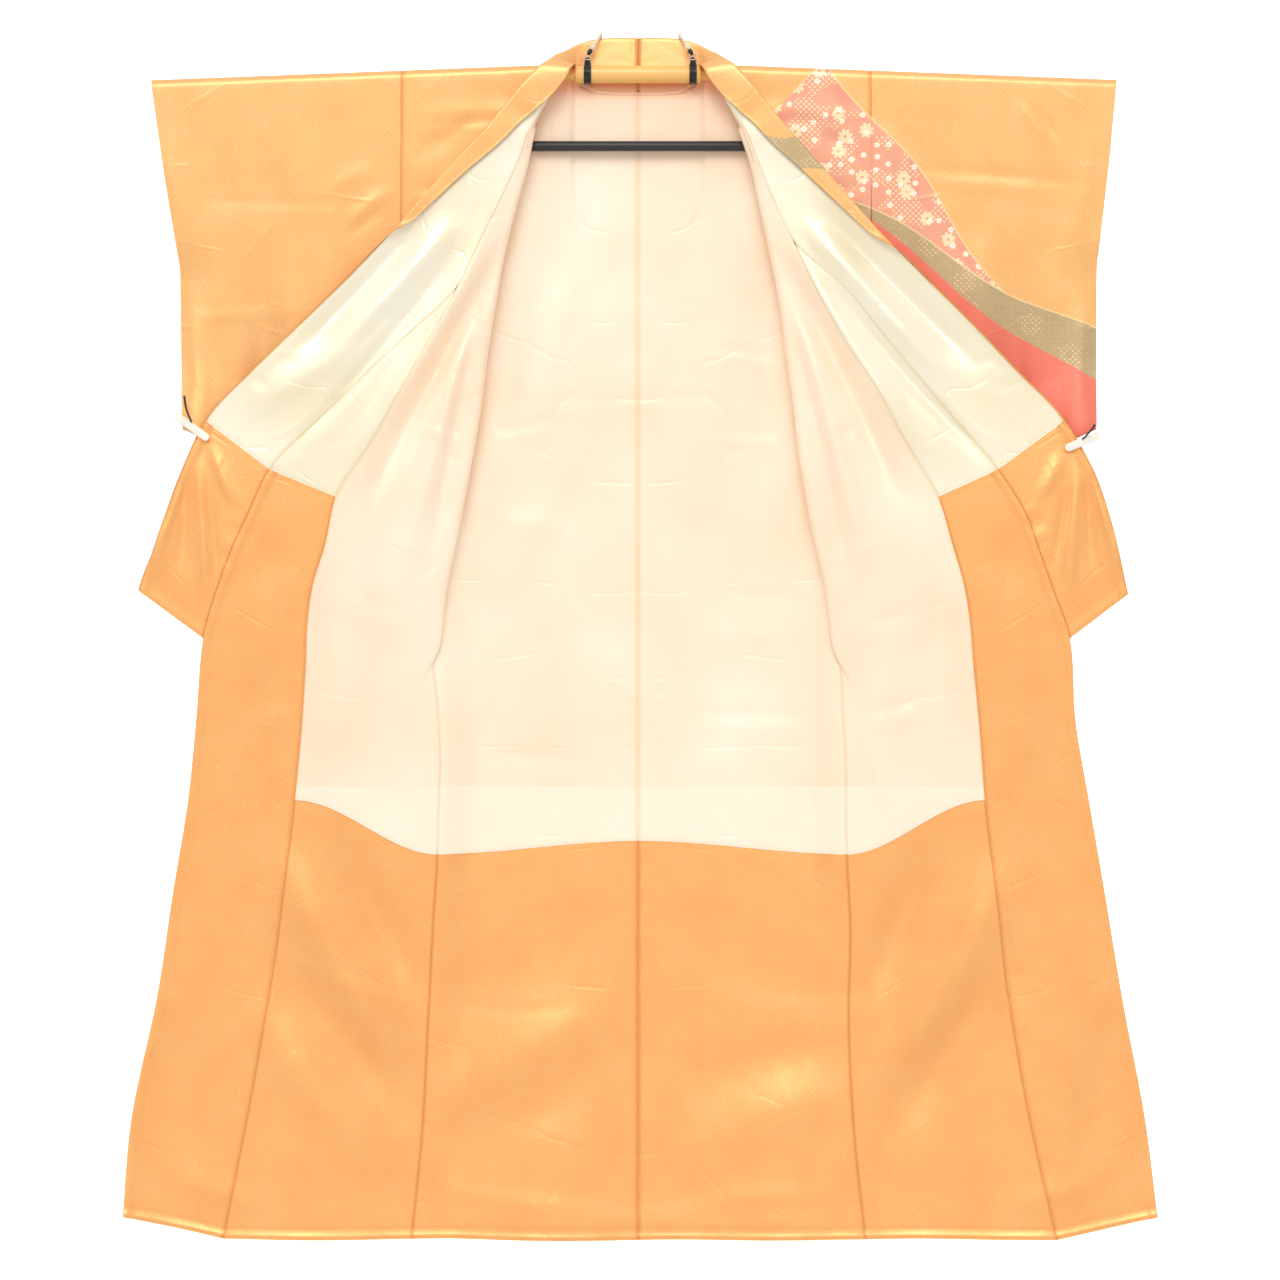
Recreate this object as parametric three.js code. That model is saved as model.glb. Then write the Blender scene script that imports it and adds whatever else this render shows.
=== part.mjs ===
// Houmongi kimono on a hanger rod, hung open so that its linings show.
// Units mm. +X is the wearer's left, -Y the side seen, +Z up; origin on the rod's axis at its middle.
import * as THREE from "three";

// ---- driving sizes -------------------------------------------------------------------------
const CLOTH = 1.2; // outer silk wall
const LINING = 1.0; // lining wall
const GAP = 0.3; // between outer silk and lining
const SEAM = 0.15; // each piece stands back this far from its seam
const HANG = 11.5; // cloth surface's distance from the rod's axis
const ARM_START = 140; // the arms slope down from here
const ARM_SLOPE = Math.tan((2.2 * Math.PI) / 180);
const ARM = { end: 645, radius: 8.5, sides: 14 };
const TUBE = { half: 86, radius: 12 };
const BAR = { half: 158, radius: 7, z: -98, x: 1.5 };
const LINK = { x: 152, width: 6, depth: 4 };
const RING = { width: 10, outer: 14, inner: 12.3 };
const FOLD_RADIUS = 6; // where the opened front turns over
const TURN_RADIUS = 4.6; // where the collar turns back at its seam
const ROLL_RADIUS = 3; // where the collar turns over
const SLEEVE = { wall: 1.6, bottom: -503, open: -255, cells: 10 };
const HEM_WAVE = { depth: 9, pitch: 330, start: -950, end: -1590 };

// Back panel columns as a share of its width; the first seven shape the neck.
const BACK_COLUMNS = [0, 0.1, 0.187, 0.25, 0.268, 0.28, 0.289, 0.4, 0.53, 0.66, 0.8, 0.93, 0.975, 1];
// Neck seam from the centre back to the shoulder: angle round the rod, distance from its axis.
const NECK = [
  { angle: 126, radius: 20.5 }, { angle: 126, radius: 20.5 }, { angle: 124, radius: 20 },
  { angle: 97, radius: 16.6 }, { angle: 60, radius: 15.6 }, { angle: 28, radius: 13.5 },
  { angle: 0, radius: 11.5 },
];
// Collar's outer fold beside each neck column: x, y, z of the fold and width turned down.
const NECK_FOLD = [
  { x: 0, y: 24, z: 52, flap: 46 }, { x: 38, y: 24, z: 52, flap: 44 }, { x: 64, y: 23, z: 49, flap: 34 },
  { x: 84, y: 19, z: 42, flap: 24 }, { x: 94, y: 14, z: 36, flap: 16 }, { x: 102, y: 8, z: 31, flap: 13 },
  { x: 109, y: 2, z: 27, flap: 13 },
];

// One row per section from shoulder to hem, x measured outwards from the centre line:
// side and fold of the front, its seam with the okumi, the okumi's seam with the collar
// (its free edge below the collar), the collar's outer edge, and the collar's turned-down width.
const COLUMNS = ["sideX", "sideZ", "foldX", "seamX", "seamZ", "edgeX", "edgeZ", "wingX", "wingZ", "flap"];
const table = (rows) => rows.map((row) => Object.fromEntries(COLUMNS.map((name, i) => [name, row[i]])));
const RIGHT = table([
  [323, 0, 93, 93, 0, 93, 0, 111, 27, 13],
  [323, 0, 98, 98, 0, 98, 0, 121, 18, 17],
  [323, 0, 104, 104, 0, 104, 0, 134, 8, 24],
  [323, -45, 131, 131, -43, 131, -43, 160, -19, 31],
  [323, -62, 135, 135, -59, 135, -59, 171, -32, 29],
  [323, -80, 140, 146, -75, 146, -75, 182, -46, 28],
  [323, -125, 149, 160, -114, 160, -114, 206, -76, 25],
  [323, -190, 166, 185, -170, 185, -170, 248, -120, 19],
  [321, -255, 182, 217, -235, 217, -235, 294, -172, 11],
  [320, -318, 193, 247, -297, 249, -297, 340, -225, 4],
  [318, -375, 203, 282, -360, 303, -350, 394, -279, 0],
  [308, -470, 214, 321, -430, 369, -410, 458, -341, 0],
  [298, -560, 229, 363, -505, 435, -475, 524, -405, 0],
  [288, -660, 247, 410, -578, 500, -541, 588, -474, 0],
  [280, -730, 260, 424, -640, 528, -600, 621, -545, 0],
  [273, -799, 273, 442, -700, 553, -655, 643, -606, 0],
  [271, -860, 271, 449, -750, 574, -713, 660, -655, 0],
  [270, -925, 270, 451, -800, 590, -770, 678, -705, 0],
  [272, -995, 272, 457, -890, 600, -880, 0, 0, 0],
  [274, -1065, 274, 467, -990, 611, -985, 0, 0, 0],
  [280, -1160, 280, 482, -1110, 632, -1110, 0, 0, 0],
  [287, -1290, 287, 502, -1250, 654, -1250, 0, 0, 0],
  [295, -1440, 295, 534, -1425, 690, -1420, 0, 0, 0],
  [310, -1592, 310, 567, -1590, 703, -1559, 0, 0, 0],
]);
const LEFT = table([
  [318, 0, 92, 92, 0, 92, 0, 109, 27, 13],
  [318, 0, 97, 97, 0, 97, 0, 119, 19, 17],
  [318, 0, 103, 103, 0, 103, 0, 131, 10, 24],
  [318, -45, 127, 127, -43, 127, -43, 156, -18, 31],
  [318, -62, 131, 131, -59, 131, -59, 167, -32, 29],
  [318, -80, 137, 144, -75, 144, -75, 178, -46, 28],
  [318, -125, 152, 160, -114, 160, -114, 202, -76, 25],
  [317, -190, 166, 182, -170, 182, -170, 243, -122, 19],
  [316, -255, 180, 213, -235, 215, -235, 290, -176, 11],
  [315, -318, 192, 242, -297, 284, -297, 346, -238, 4],
  [313, -375, 200, 277, -360, 327, -350, 397, -286, 0],
  [303, -470, 212, 323, -430, 377, -410, 452, -340, 0],
  [293, -560, 223, 364, -505, 432, -475, 514, -405, 0],
  [283, -660, 240, 407, -578, 488, -541, 580, -474, 0],
  [275, -730, 255, 426, -640, 525, -600, 620, -545, 0],
  [268, -799, 268, 443, -700, 545, -655, 640, -606, 0],
  [276, -860, 276, 451, -750, 566, -713, 653, -655, 0],
  [283, -925, 283, 455, -800, 586, -770, 665, -710, 0],
  [284, -995, 284, 464, -890, 594, -880, 0, 0, 0],
  [285, -1065, 285, 472, -990, 612, -985, 0, 0, 0],
  [290, -1160, 290, 487, -1110, 634, -1110, 0, 0, 0],
  [288, -1290, 288, 504, -1250, 658, -1250, 0, 0, 0],
  [295, -1440, 295, 534, -1425, 691, -1420, 0, 0, 0],
  [311, -1592, 311, 571, -1590, 710, -1561, 0, 0, 0],
]);
// Depth of each section: hidden front, its visible layer by the fold, okumi seam, okumi edge, collar.
const DEPTHS = [
  { side: -11.5, hidden: -11.5, fold: -11.5, seam: 0, edge: 0, wing: 2 },
  { side: -11.5, hidden: -11.5, fold: -11.5, seam: 0, edge: 0, wing: -12 },
  { side: -11.5, hidden: -11.5, fold: -11.5, seam: -11.5, edge: -11.5, wing: -19 },
  { side: -11.5, hidden: -11.5, fold: -11.5, seam: -12, edge: -12, wing: -24 },
  { side: -11.5, hidden: -11.5, fold: -20.7, seam: -16.1, edge: -16.1, wing: -25 },
  { side: -11.5, hidden: -11.5, fold: -22, seam: -22.6, edge: -22.6, wing: -26 },
  { side: -11.5, hidden: -11.5, fold: -23, seam: -24.5, edge: -24.5, wing: -28 },
  { side: -11.5, hidden: -11, fold: -24, seam: -26, edge: -26, wing: -29 },
  { side: -11, hidden: -10.5, fold: -24, seam: -28, edge: -28, wing: -30 },
  { side: -7, hidden: -10, fold: -24, seam: -29, edge: -29, wing: -31 },
  { side: 2, hidden: -9, fold: -23, seam: -30, edge: -31, wing: -32 },
  { side: 2, hidden: -9, fold: -23, seam: -31, edge: -32, wing: -32 },
  { side: 2, hidden: -9, fold: -22, seam: -32, edge: -33, wing: -31 },
  { side: 2, hidden: -7, fold: -19, seam: -32, edge: -33, wing: -26 },
  { side: 2, hidden: -5, fold: -14, seam: -32, edge: -33, wing: -29 },
  { side: 2, hidden: -2, fold: -7, seam: -31, edge: -33, wing: -32 },
  { side: 1, hidden: 1, fold: 1, seam: -29, edge: -32, wing: -32 },
  { side: 0, hidden: 0, fold: 0, seam: -27, edge: -30, wing: -30 },
  { side: 0, hidden: 0, fold: 0, seam: -22, edge: -26, wing: 0 },
  { side: 1, hidden: 1, fold: 1, seam: -17, edge: -22, wing: 0 },
  { side: 3, hidden: 3, fold: 3, seam: -11, edge: -17, wing: 0 },
  { side: 6, hidden: 6, fold: 6, seam: -6, edge: -12, wing: 0 },
  { side: 8, hidden: 8, fold: 8, seam: -1, edge: -7, wing: 0 },
  { side: 9, hidden: 9, fold: 9, seam: 1, edge: -4, wing: 0 },
];
const ROWS = {
  turned: 4, kensaki: { left: 8, right: 9 }, joined: 10, okumiLining: 13, collarEnd: 17, bodyLining: 19, hem: 23,
};
const COLLAR_TRIM = [4, 1, 1, 1];
// Part of a half turn made at the collar's seam, from the shoulder down.
const COLLAR_TURNS = [[0, 0.2], [0, 0.6], [0, 1], [0, 1], [0.5, 1]];
const BACK = { depth: 14.5, lining: -1047, hem: -1594 };

// ---- small helpers -------------------------------------------------------------------------
const V = (x, y, z) => new THREE.Vector3(x, y, z);
const mix = (a, b, t) => a + (b - a) * t;
const clamp = (t) => Math.min(1, Math.max(0, t));
const smooth = (t) => clamp(t) ** 2 * (3 - 2 * clamp(t));
const rad = (degrees) => (degrees * Math.PI) / 180;
const armZ = (x) => -Math.max(0, Math.abs(x) - ARM_START) * ARM_SLOPE;

/** Distance of the back's upper edge from the rod's axis: it stands clear of the thick middle tube. */
const clearance = (share) => (share < 0.27 ? 16.6 : share < 0.285 ? 13.5 : HANG);

/** Broad folds that grow towards the hem; x is a true coordinate, so both halves meet. */
function hemWave(x, z) {
  const grown = smooth((HEM_WAVE.start - z) / (HEM_WAVE.start - HEM_WAVE.end));
  return HEM_WAVE.depth * grown * Math.sin((2 * Math.PI * (x + 40)) / HEM_WAVE.pitch);
}

/** Points at the given distances along a path. */
function along(path, stations) {
  const sums = [0];
  path.slice(1).forEach((p, i) => sums.push(sums[i] + p.distanceTo(path[i])));
  const total = sums[sums.length - 1];
  return stations.map((share) => {
    const s = clamp(share) * total;
    let i = sums.findIndex((sum) => sum >= s);
    i = Math.max(1, i < 0 ? sums.length - 1 : i);
    const t = (s - sums[i - 1]) / Math.max(1e-9, sums[i] - sums[i - 1]);
    return path[i - 1].clone().lerp(path[i], clamp(t));
  });
}

/** Share of a path's length reached at each of its points. */
function shares(path) {
  const sums = [0];
  path.slice(1).forEach((p, i) => sums.push(sums[i] + p.distanceTo(path[i])));
  return sums.map((s) => s / sums[sums.length - 1]);
}

// ---- rows of each panel --------------------------------------------------------------------
/** A row of the front panel: side edge, inwards to the fold, and out again to the okumi seam. */
function frontRow(side, row, depth, index) {
  const cells = 11;
  const even = Array.from({ length: cells + 1 }, (_, i) => i / cells);
  const gathered = even.map((t, i) => (i < 4 ? 0.31 * i : 1 - (12 - 1.5 * (i - 3)) / (row.sideX - row.seamX)));
  if (index < 3) {
    const angle = rad(45 * index);
    return gathered.map((t) => {
      const x = mix(row.sideX, row.seamX, t);
      return V(side * x, -HANG * Math.sin(angle), HANG * Math.cos(angle) + armZ(x));
    });
  }
  const start = V(row.sideX, depth.side, row.sideZ);
  const end = V(row.seamX, depth.seam, row.seamZ);
  const pleat = row.sideX - row.foldX;
  const strength = index < ROWS.turned ? 0 : smooth(pleat / 45);
  let path = [start, end];
  let stations = index < ROWS.turned ? gathered : even;
  if (index === ROWS.turned) {
    for (let i = 6; i >= 0; i--) {
      const a = (Math.PI * i) / 12;
      const turned = depth.hidden - TURN_RADIUS * (1 - Math.cos(a));
      path.splice(1, 0, V(row.seamX + TURN_RADIUS * (1 - Math.sin(a)), turned, end.z));
    }
    path.splice(8, 1);
    const s = shares(path);
    stations = even.map((t, i) => (i < 4 ? (s[1] * i) / 3.2 : mix(s[1], 1, (i - 3) / 8)));
  } else if (strength > 0) {
    const room = (depth.hidden - depth.fold) / 2;
    const radius = Math.min(FOLD_RADIUS, pleat / 3, room, row.seamX - row.foldX - 1);
    const turnZ = mix(row.sideZ, row.seamZ, 0.3);
    const middle = (depth.hidden + depth.fold) / 2;
    const half = (depth.hidden - depth.fold) / 2;
    path = [start, V(row.sideX - 8 * strength, depth.hidden, mix(row.sideZ, turnZ, 0.1))];
    for (let i = 0; i <= 6; i++) {
      const a = (Math.PI * i) / 6;
      path.push(V(row.foldX + radius * (1 - Math.sin(a)), middle + half * Math.cos(a), turnZ));
    }
    path.push(end);
    const s = shares(path);
    const out = (t) => mix(s[8], 1, t);
    const bend = [s[2], s[3], s[5], s[7], s[8]];
    const feature = [0, s[1], mix(s[1], s[2], 0.5), ...bend, out(0.25), out(0.5), out(0.75), 1];
    stations = even.map((t, i) => mix(t, feature[i], strength));
  }
  const slope = row.sideZ - row.seamZ;
  return along(path, stations).map((p, i) => {
    const t = stations[i];
    const z = strength > 0.5 ? p.z : row.sideZ - slope * smooth(t);
    const fall = index < ROWS.joined ? armZ(p.x) : 0;
    return V(side * p.x, p.y + hemWave(side * p.x, z), z + fall * clamp(1 + z / 300));
  });
}

/** A row of the back panel, centre seam to side edge. */
function backRow(side, row, depth, index) {
  return BACK_COLUMNS.map((share, column) => {
    const x = share * row.sideX;
    if (index < 3) {
      const neck = NECK[Math.min(column, NECK.length - 1)];
      const end = share < BACK_COLUMNS[6] ? Math.max(90, neck.angle + 10) : 90;
      const angle = rad(mix(neck.angle, end, index / 2));
      const radius = mix(neck.radius, Math.max(neck.radius, clearance(share)), index / 2);
      return V(side * x, radius * Math.sin(angle), radius * Math.cos(angle) + armZ(x));
    }
    const middleZ = row.sideZ <= -799 ? backCentreZ(row.sideZ) : row.sideZ;
    const sag = index < ROWS.joined ? armZ(x) * clamp(1 + row.sideZ / 300) : 0;
    const z = mix(middleZ, row.sideZ, smooth(share)) + sag;
    const level = mix(clearance(share), BACK.depth, smooth(-row.sideZ / 250));
    const edge = index < ROWS.joined ? -depth.side : depth.side;
    const y = mix(level, edge, smooth((share - 0.8) / 0.2));
    return V(side * x, y + hemWave(side * x, z), z);
  });
}

/** Height of the centre back beside a height of the side seam. */
function backCentreZ(sideZ) {
  const rows = [[-799, -799], [-1065, BACK.lining], [-1592, BACK.hem]];
  const i = sideZ < -1065 ? 1 : 0;
  return mix(rows[i][1], rows[i + 1][1], (sideZ - rows[i][0]) / (rows[i + 1][0] - rows[i][0]));
}

/** A row of the okumi, straight across from its front seam to its outer edge. */
function okumiRow(side, row, depth) {
  const a = V(row.seamX, depth.seam, row.seamZ);
  const b = V(row.edgeX, depth.edge, row.edgeZ);
  return [0, 1 / 3, 2 / 3, 1].map((t) => {
    const p = a.clone().lerp(b, t);
    return V(side * p.x, p.y + hemWave(side * p.x, p.z), p.z);
  });
}

// Where a flat collar row's points gather as its turned-down part runs out.
const EDGE_STATIONS = [0, 0.125, 0.25, 0.6, 0.95, 0.962, 0.975, 0.988, 1];

/** A row of the collar: turned back at its seam, out to its fold, and down again. */
function collarRow(side, seam, fold, [from, to], outward, flap, gather) {
  const path = [seam];
  const first = Math.PI * from;
  for (let i = 1; i <= 4 && to > 0; i++) {
    const a = mix(first, Math.PI * to, i / 4);
    path.push(seam.clone().addScaledVector(V(-1, 0, 0), TURN_RADIUS * (Math.sin(a) - Math.sin(first)))
      .addScaledVector(outward, TURN_RADIUS * (Math.cos(first) - Math.cos(a))));
  }
  const bend = path.length - 1;
  const run = fold.clone().sub(path[bend]).normalize();
  const towards = V(0, -1, 0).addScaledVector(run, run.y).normalize();
  if (flap > 0) {
    const centre = fold.clone().addScaledVector(run, -ROLL_RADIUS).addScaledVector(towards, ROLL_RADIUS);
    const roll = Math.PI * Math.min(1, flap / 8);
    for (let i = 0; i <= 4; i++) {
      const a = (roll * i) / 4;
      path.push(centre.clone().addScaledVector(run, ROLL_RADIUS * Math.sin(a))
        .addScaledVector(towards, -ROLL_RADIUS * Math.cos(a)));
    }
    const end = path[path.length - 1].clone();
    const rest = Math.max(flap - ROLL_RADIUS, 1);
    path.push(end.addScaledVector(run, rest * Math.cos(roll)).addScaledVector(towards, rest * Math.sin(roll)));
  } else path.push(fold);
  const s = shares(path);
  const top = bend + 1;
  const bent = to > 0 ? s[bend] : 0.25 * s[top];
  const stations = flap > 0
    ? [0, bent / 2, bent, (bent + s[top]) / 2, s[top], s[top + 1], s[top + 3], s[top + 4], 1]
    : EDGE_STATIONS.map((t, i) => mix(i / 8, t, gather));
  return along(path, stations).map((p) => V(side * p.x, p.y, p.z));
}

/** All rows of one side's collar, centre back to tip. */
function collarRows(side, rows) {
  const grid = [];
  const width = rows[0].sideX;
  NECK.slice(0, -1).forEach((neck, i) => {
    const angle = rad(neck.angle);
    const seam = V(BACK_COLUMNS[i] * width, neck.radius * Math.sin(angle), neck.radius * Math.cos(angle));
    const f = NECK_FOLD[i];
    const outward = V(0, Math.sin(angle), Math.cos(angle));
    grid.push(collarRow(side, seam, V(f.x, f.y, f.z), [0, 0], outward, f.flap, 0));
  });
  for (let i = 0; i <= ROWS.collarEnd; i++) {
    const row = rows[i];
    const depth = DEPTHS[i];
    const angle = rad(45 * Math.min(i, 2));
    const seam = i < 3
      ? V(row.edgeX, -HANG * Math.sin(angle), HANG * Math.cos(angle))
      : V(row.edgeX, depth.edge, row.edgeZ);
    const outward = V(0, -Math.sin(angle), Math.cos(angle));
    grid.push(collarRow(side, seam, V(row.wingX, depth.wing, row.wingZ), COLLAR_TURNS[i] ?? [0, 0], outward,
      row.flap, clamp(1 - (i - ROWS.joined) / 3)));
  }
  return grid;
}

// ---- walls from grids ----------------------------------------------------------------------
const key = (p) => [p.x, p.y, p.z].map((n) => Math.round(n * 50)).join(",");

/** Unit normals of every grid, shared where grids meet, pointing to the outer silk's side. */
function normalsOf(side, grids) {
  const sums = new Map();
  const add = (p, n) => sums.set(key(p), (sums.get(key(p)) ?? V(0, 0, 0)).add(n));
  for (const grid of grids)
    for (let r = 0; r + 1 < grid.length; r++)
      for (let c = 0; c + 1 < grid[r].length; c++) {
        const corners = [grid[r][c], grid[r][c + 1], grid[r + 1][c + 1], grid[r + 1][c]];
        const n = corners[2].clone().sub(corners[0]).cross(corners[3].clone().sub(corners[1]))
          .multiplyScalar(side);
        if (n.length() > 1e-6) n.normalize();
        corners.forEach((p) => add(p, n));
      }
  return grids.map((grid) => grid.map((row) => row.map((p) => sums.get(key(p)).clone().normalize())));
}

/** Closed solid between two offsets of part of a grid; trims hold its edges back from seams. */
function wall(grid, normals, low, high, { rows, trim = [1, 1, 1, 1] }) {
  const [r0, r1] = rows ?? [0, grid.length - 1];
  const points = grid.slice(r0, r1 + 1).map((row) => row.map((p) => p.clone()));
  const n = normals.slice(r0, r1 + 1);
  const last = points.length - 1;
  const wide = points[0].length - 1;
  const pull = (p, q, amount) => p.addScaledVector(q.clone().sub(p).normalize(), SEAM * amount);
  const copy = points.map((row) => row.map((p) => p.clone()));
  points.forEach((row, r) => {
    pull(row[0], copy[r][1], trim[0]);
    pull(row[wide], copy[r][wide - 1], trim[1]);
  });
  points[0].forEach((p, c) => pull(p, copy[1][c], trim[2]));
  points[last].forEach((p, c) => pull(p, copy[last - 1][c], trim[3]));
  const vertices = [];
  for (const offset of [low, high])
    points.forEach((row, r) => row.forEach((p, c) => {
      vertices.push(p.clone().addScaledVector(n[r][c], offset));
    }));
  const layer = (wide + 1) * (last + 1);
  const at = (l, r, c) => l * layer + r * (wide + 1) + c;
  const faces = [];
  const quad = (a, b, c, d) => faces.push(a, b, c, a, c, d);
  for (let r = 0; r < last; r++)
    for (let c = 0; c < wide; c++) {
      quad(at(1, r, c), at(1, r + 1, c), at(1, r + 1, c + 1), at(1, r, c + 1));
      quad(at(0, r, c), at(0, r, c + 1), at(0, r + 1, c + 1), at(0, r + 1, c));
    }
  for (let r = 0; r < last; r++) {
    quad(at(0, r, 0), at(0, r + 1, 0), at(1, r + 1, 0), at(1, r, 0));
    quad(at(0, r, wide), at(1, r, wide), at(1, r + 1, wide), at(0, r + 1, wide));
  }
  for (let c = 0; c < wide; c++) {
    quad(at(0, 0, c), at(1, 0, c), at(1, 0, c + 1), at(0, 0, c + 1));
    quad(at(0, last, c), at(0, last, c + 1), at(1, last, c + 1), at(1, last, c));
  }
  return solid(vertices, faces);
}

/** Mesh geometry from vertices and faces, turned right side out. */
function solid(vertices, faces) {
  let volume = 0;
  for (let i = 0; i < faces.length; i += 3)
    volume += vertices[faces[i]].dot(vertices[faces[i + 1]].clone().cross(vertices[faces[i + 2]]));
  const order = [...faces];
  if (volume < 0)
    for (let i = 0; i < order.length; i += 3) [order[i + 1], order[i + 2]] = [order[i + 2], order[i + 1]];
  const geometry = new THREE.BufferGeometry();
  const flat = vertices.flatMap((v) => [v.x, v.y, v.z]);
  geometry.setAttribute("position", new THREE.Float32BufferAttribute(flat, 3));
  geometry.setIndex(order);
  geometry.computeVertexNormals();
  return geometry;
}

/** Closed solid through equal rings; an open tube when the rings close on themselves. */
function skin(rings, capped = true) {
  const count = rings[0].length;
  const vertices = rings.flat();
  const faces = [];
  const quad = (a, b, c, d) => faces.push(a, b, c, a, c, d);
  const loops = capped ? rings.length - 1 : rings.length;
  for (let r = 0; r < loops; r++)
    for (let i = 0; i < count; i++) {
      const next = ((r + 1) % rings.length) * count;
      quad(r * count + i, r * count + ((i + 1) % count), next + ((i + 1) % count), next + i);
    }
  if (capped)
    for (const [start, flip] of [[0, false], [(rings.length - 1) * count, true]])
      for (let i = 1; i + 1 < count; i++)
        faces.push(start, start + (flip ? i : i + 1), start + (flip ? i + 1 : i));
  return solid(vertices, faces);
}

// ---- sleeves -------------------------------------------------------------------------------
const CUFFS = {
  "-1": [{ z: 12, x: 664 }, { z: -255, x: 625 }, { z: -440, x: 622 }, { z: -485, x: 621 }, { z: -503, x: 608 }],
  1: [{ z: 12, x: 652 }, { z: -93, x: 643 }, { z: -250, x: 626 }, { z: -485, x: 625 }, { z: -503, x: 612 }],
};

/** Distance of the cuff's edge from the centre line at a height. */
function cuffX(side, z) {
  const rows = CUFFS[side];
  const i = Math.max(1, rows.findIndex((row) => row.z <= z));
  const [a, b] = [rows[i - 1], rows[z < rows[rows.length - 1].z ? rows.length - 1 : i]];
  return mix(a.x, b.x, clamp((z - a.z) / (b.z - a.z)));
}

/** Ring of one sleeve at a share of its length: over the rod, down the front, up the back. */
function sleeveRing(side, seamX, share, inset) {
  const heights = [-55, -120, -185, SLEEVE.open, -335, -415, -482];
  const closing = (z) => smooth((share - 0.55) / 0.45) * smooth((-205 - z) / 70);
  const sway = (x, z) => 5 * Math.sin((2 * Math.PI * (x - 330)) / 150) * smooth((-200 - z) / 200)
    - 15 * smooth((share - 0.7) / 0.3) * smooth((-380 - z) / 110);
  const place = (y, z, top) => {
    const x = mix(seamX + SEAM, cuffX(side, z), share);
    return V(side * x, y + (top ? 0 : sway(x, z)), z + (top ? armZ(x) : armZ(x) * clamp(1 + z / 480)));
  };
  const radius = HANG + CLOTH - inset;
  const half = (z) => mix(mix(HANG + CLOTH, 8.5, smooth((-z - 40) / 420)), 2.2, closing(z)) - inset;
  const ring = [];
  for (const angle of [90, 45, 0, -45, -90])
    ring.push(place(radius * Math.sin(rad(angle)), radius * Math.cos(rad(angle)), true));
  heights.forEach((z) => ring.push(place(-half(z), z, false)));
  const low = SLEEVE.bottom + inset;
  ring.push(place(-0.45 * half(low), low, false), place(0.45 * half(low), low, false));
  [...heights].reverse().forEach((z) => ring.push(place(half(z), z, false)));
  return ring;
}

/** A sleeve's wall: an outer and an inner skin joined round both open ends. */
function sleeve(side, seamX) {
  const steps = Array.from({ length: SLEEVE.cells + 1 }, (_, i) => i / SLEEVE.cells);
  const outer = steps.map((t) => sleeveRing(side, seamX, t, 0));
  const inner = steps.map((t) => sleeveRing(side, seamX, t, SLEEVE.wall));
  return skin([...outer, ...inner.reverse()], false);
}

// ---- what holds it -------------------------------------------------------------------------
/** Circle of points round an axis along X. */
function circleX(x, y, z, radius, sides) {
  return Array.from({ length: sides }, (_, i) => {
    const a = (2 * Math.PI * i) / sides;
    return V(x, y + radius * Math.cos(a), z + radius * Math.sin(a));
  });
}

/** Tube round a path, in even rings square to it. */
function tube(path, radius, sides) {
  return skin(path.map((p, i) => {
    const ahead = path[Math.min(i + 1, path.length - 1)].clone().sub(path[Math.max(i - 1, 0)]).normalize();
    const across = V(1, 0, 0).addScaledVector(ahead, -ahead.x).normalize();
    const up = ahead.clone().cross(across).normalize();
    return Array.from({ length: sides }, (_, k) => {
      const a = (2 * Math.PI * k) / sides;
      return p.clone().addScaledVector(across, radius * Math.cos(a)).addScaledVector(up, radius * Math.sin(a));
    });
  }));
}

/** Rod: a thick middle tube and thinner arms that slope down inside the sleeves. */
function rod() {
  const stations = [
    [-ARM.end, ARM.radius], [-ARM_START, ARM.radius], [-TUBE.half - 0.8, ARM.radius], [-TUBE.half, TUBE.radius],
    [TUBE.half, TUBE.radius], [TUBE.half + 0.8, ARM.radius], [ARM_START, ARM.radius], [ARM.end, ARM.radius],
  ];
  return skin(stations.map(([x, radius]) => circleX(x, 0, armZ(x), radius, ARM.sides)));
}

/** Ring round the rod that carries a swivel. */
function ring(x) {
  const sides = 18;
  return skin([
    circleX(x - RING.width / 2, 0, 0, RING.outer, sides), circleX(x + RING.width / 2, 0, 0, RING.outer, sides),
    circleX(x + RING.width / 2, 0, 0, RING.inner, sides), circleX(x - RING.width / 2, 0, 0, RING.inner, sides),
  ], false);
}

/** Swivel and cord from a ring up and over the collar's top edge. */
function collarHook(x, lean) {
  return tube([
    V(x, 0, RING.outer + 0.3), V(x, 0, 22), V(x, 0, 38), V(x + 0.6 * lean, 3, 50), V(x + lean, 9, 57.5),
    V(x + lean, 20, 58.5), V(x + lean, 26.5, 54), V(x + lean, 27, 42),
  ], 1.8, 8);
}

/** Upright link between an arm and the sash bar. */
function link(side) {
  const [w, d] = [LINK.width / 2, LINK.depth / 2];
  const x = side * LINK.x;
  const level = (z) => [V(x - w, -d, z), V(x + w, -d, z), V(x + w, d, z), V(x - w, d, z)];
  return skin([level(BAR.z + BAR.radius + 0.3), level(armZ(LINK.x) - ARM.radius - 0.3)]);
}

const CLIP = { width: 11, jaw: 2.6, front: -35, back: -5 };
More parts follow.
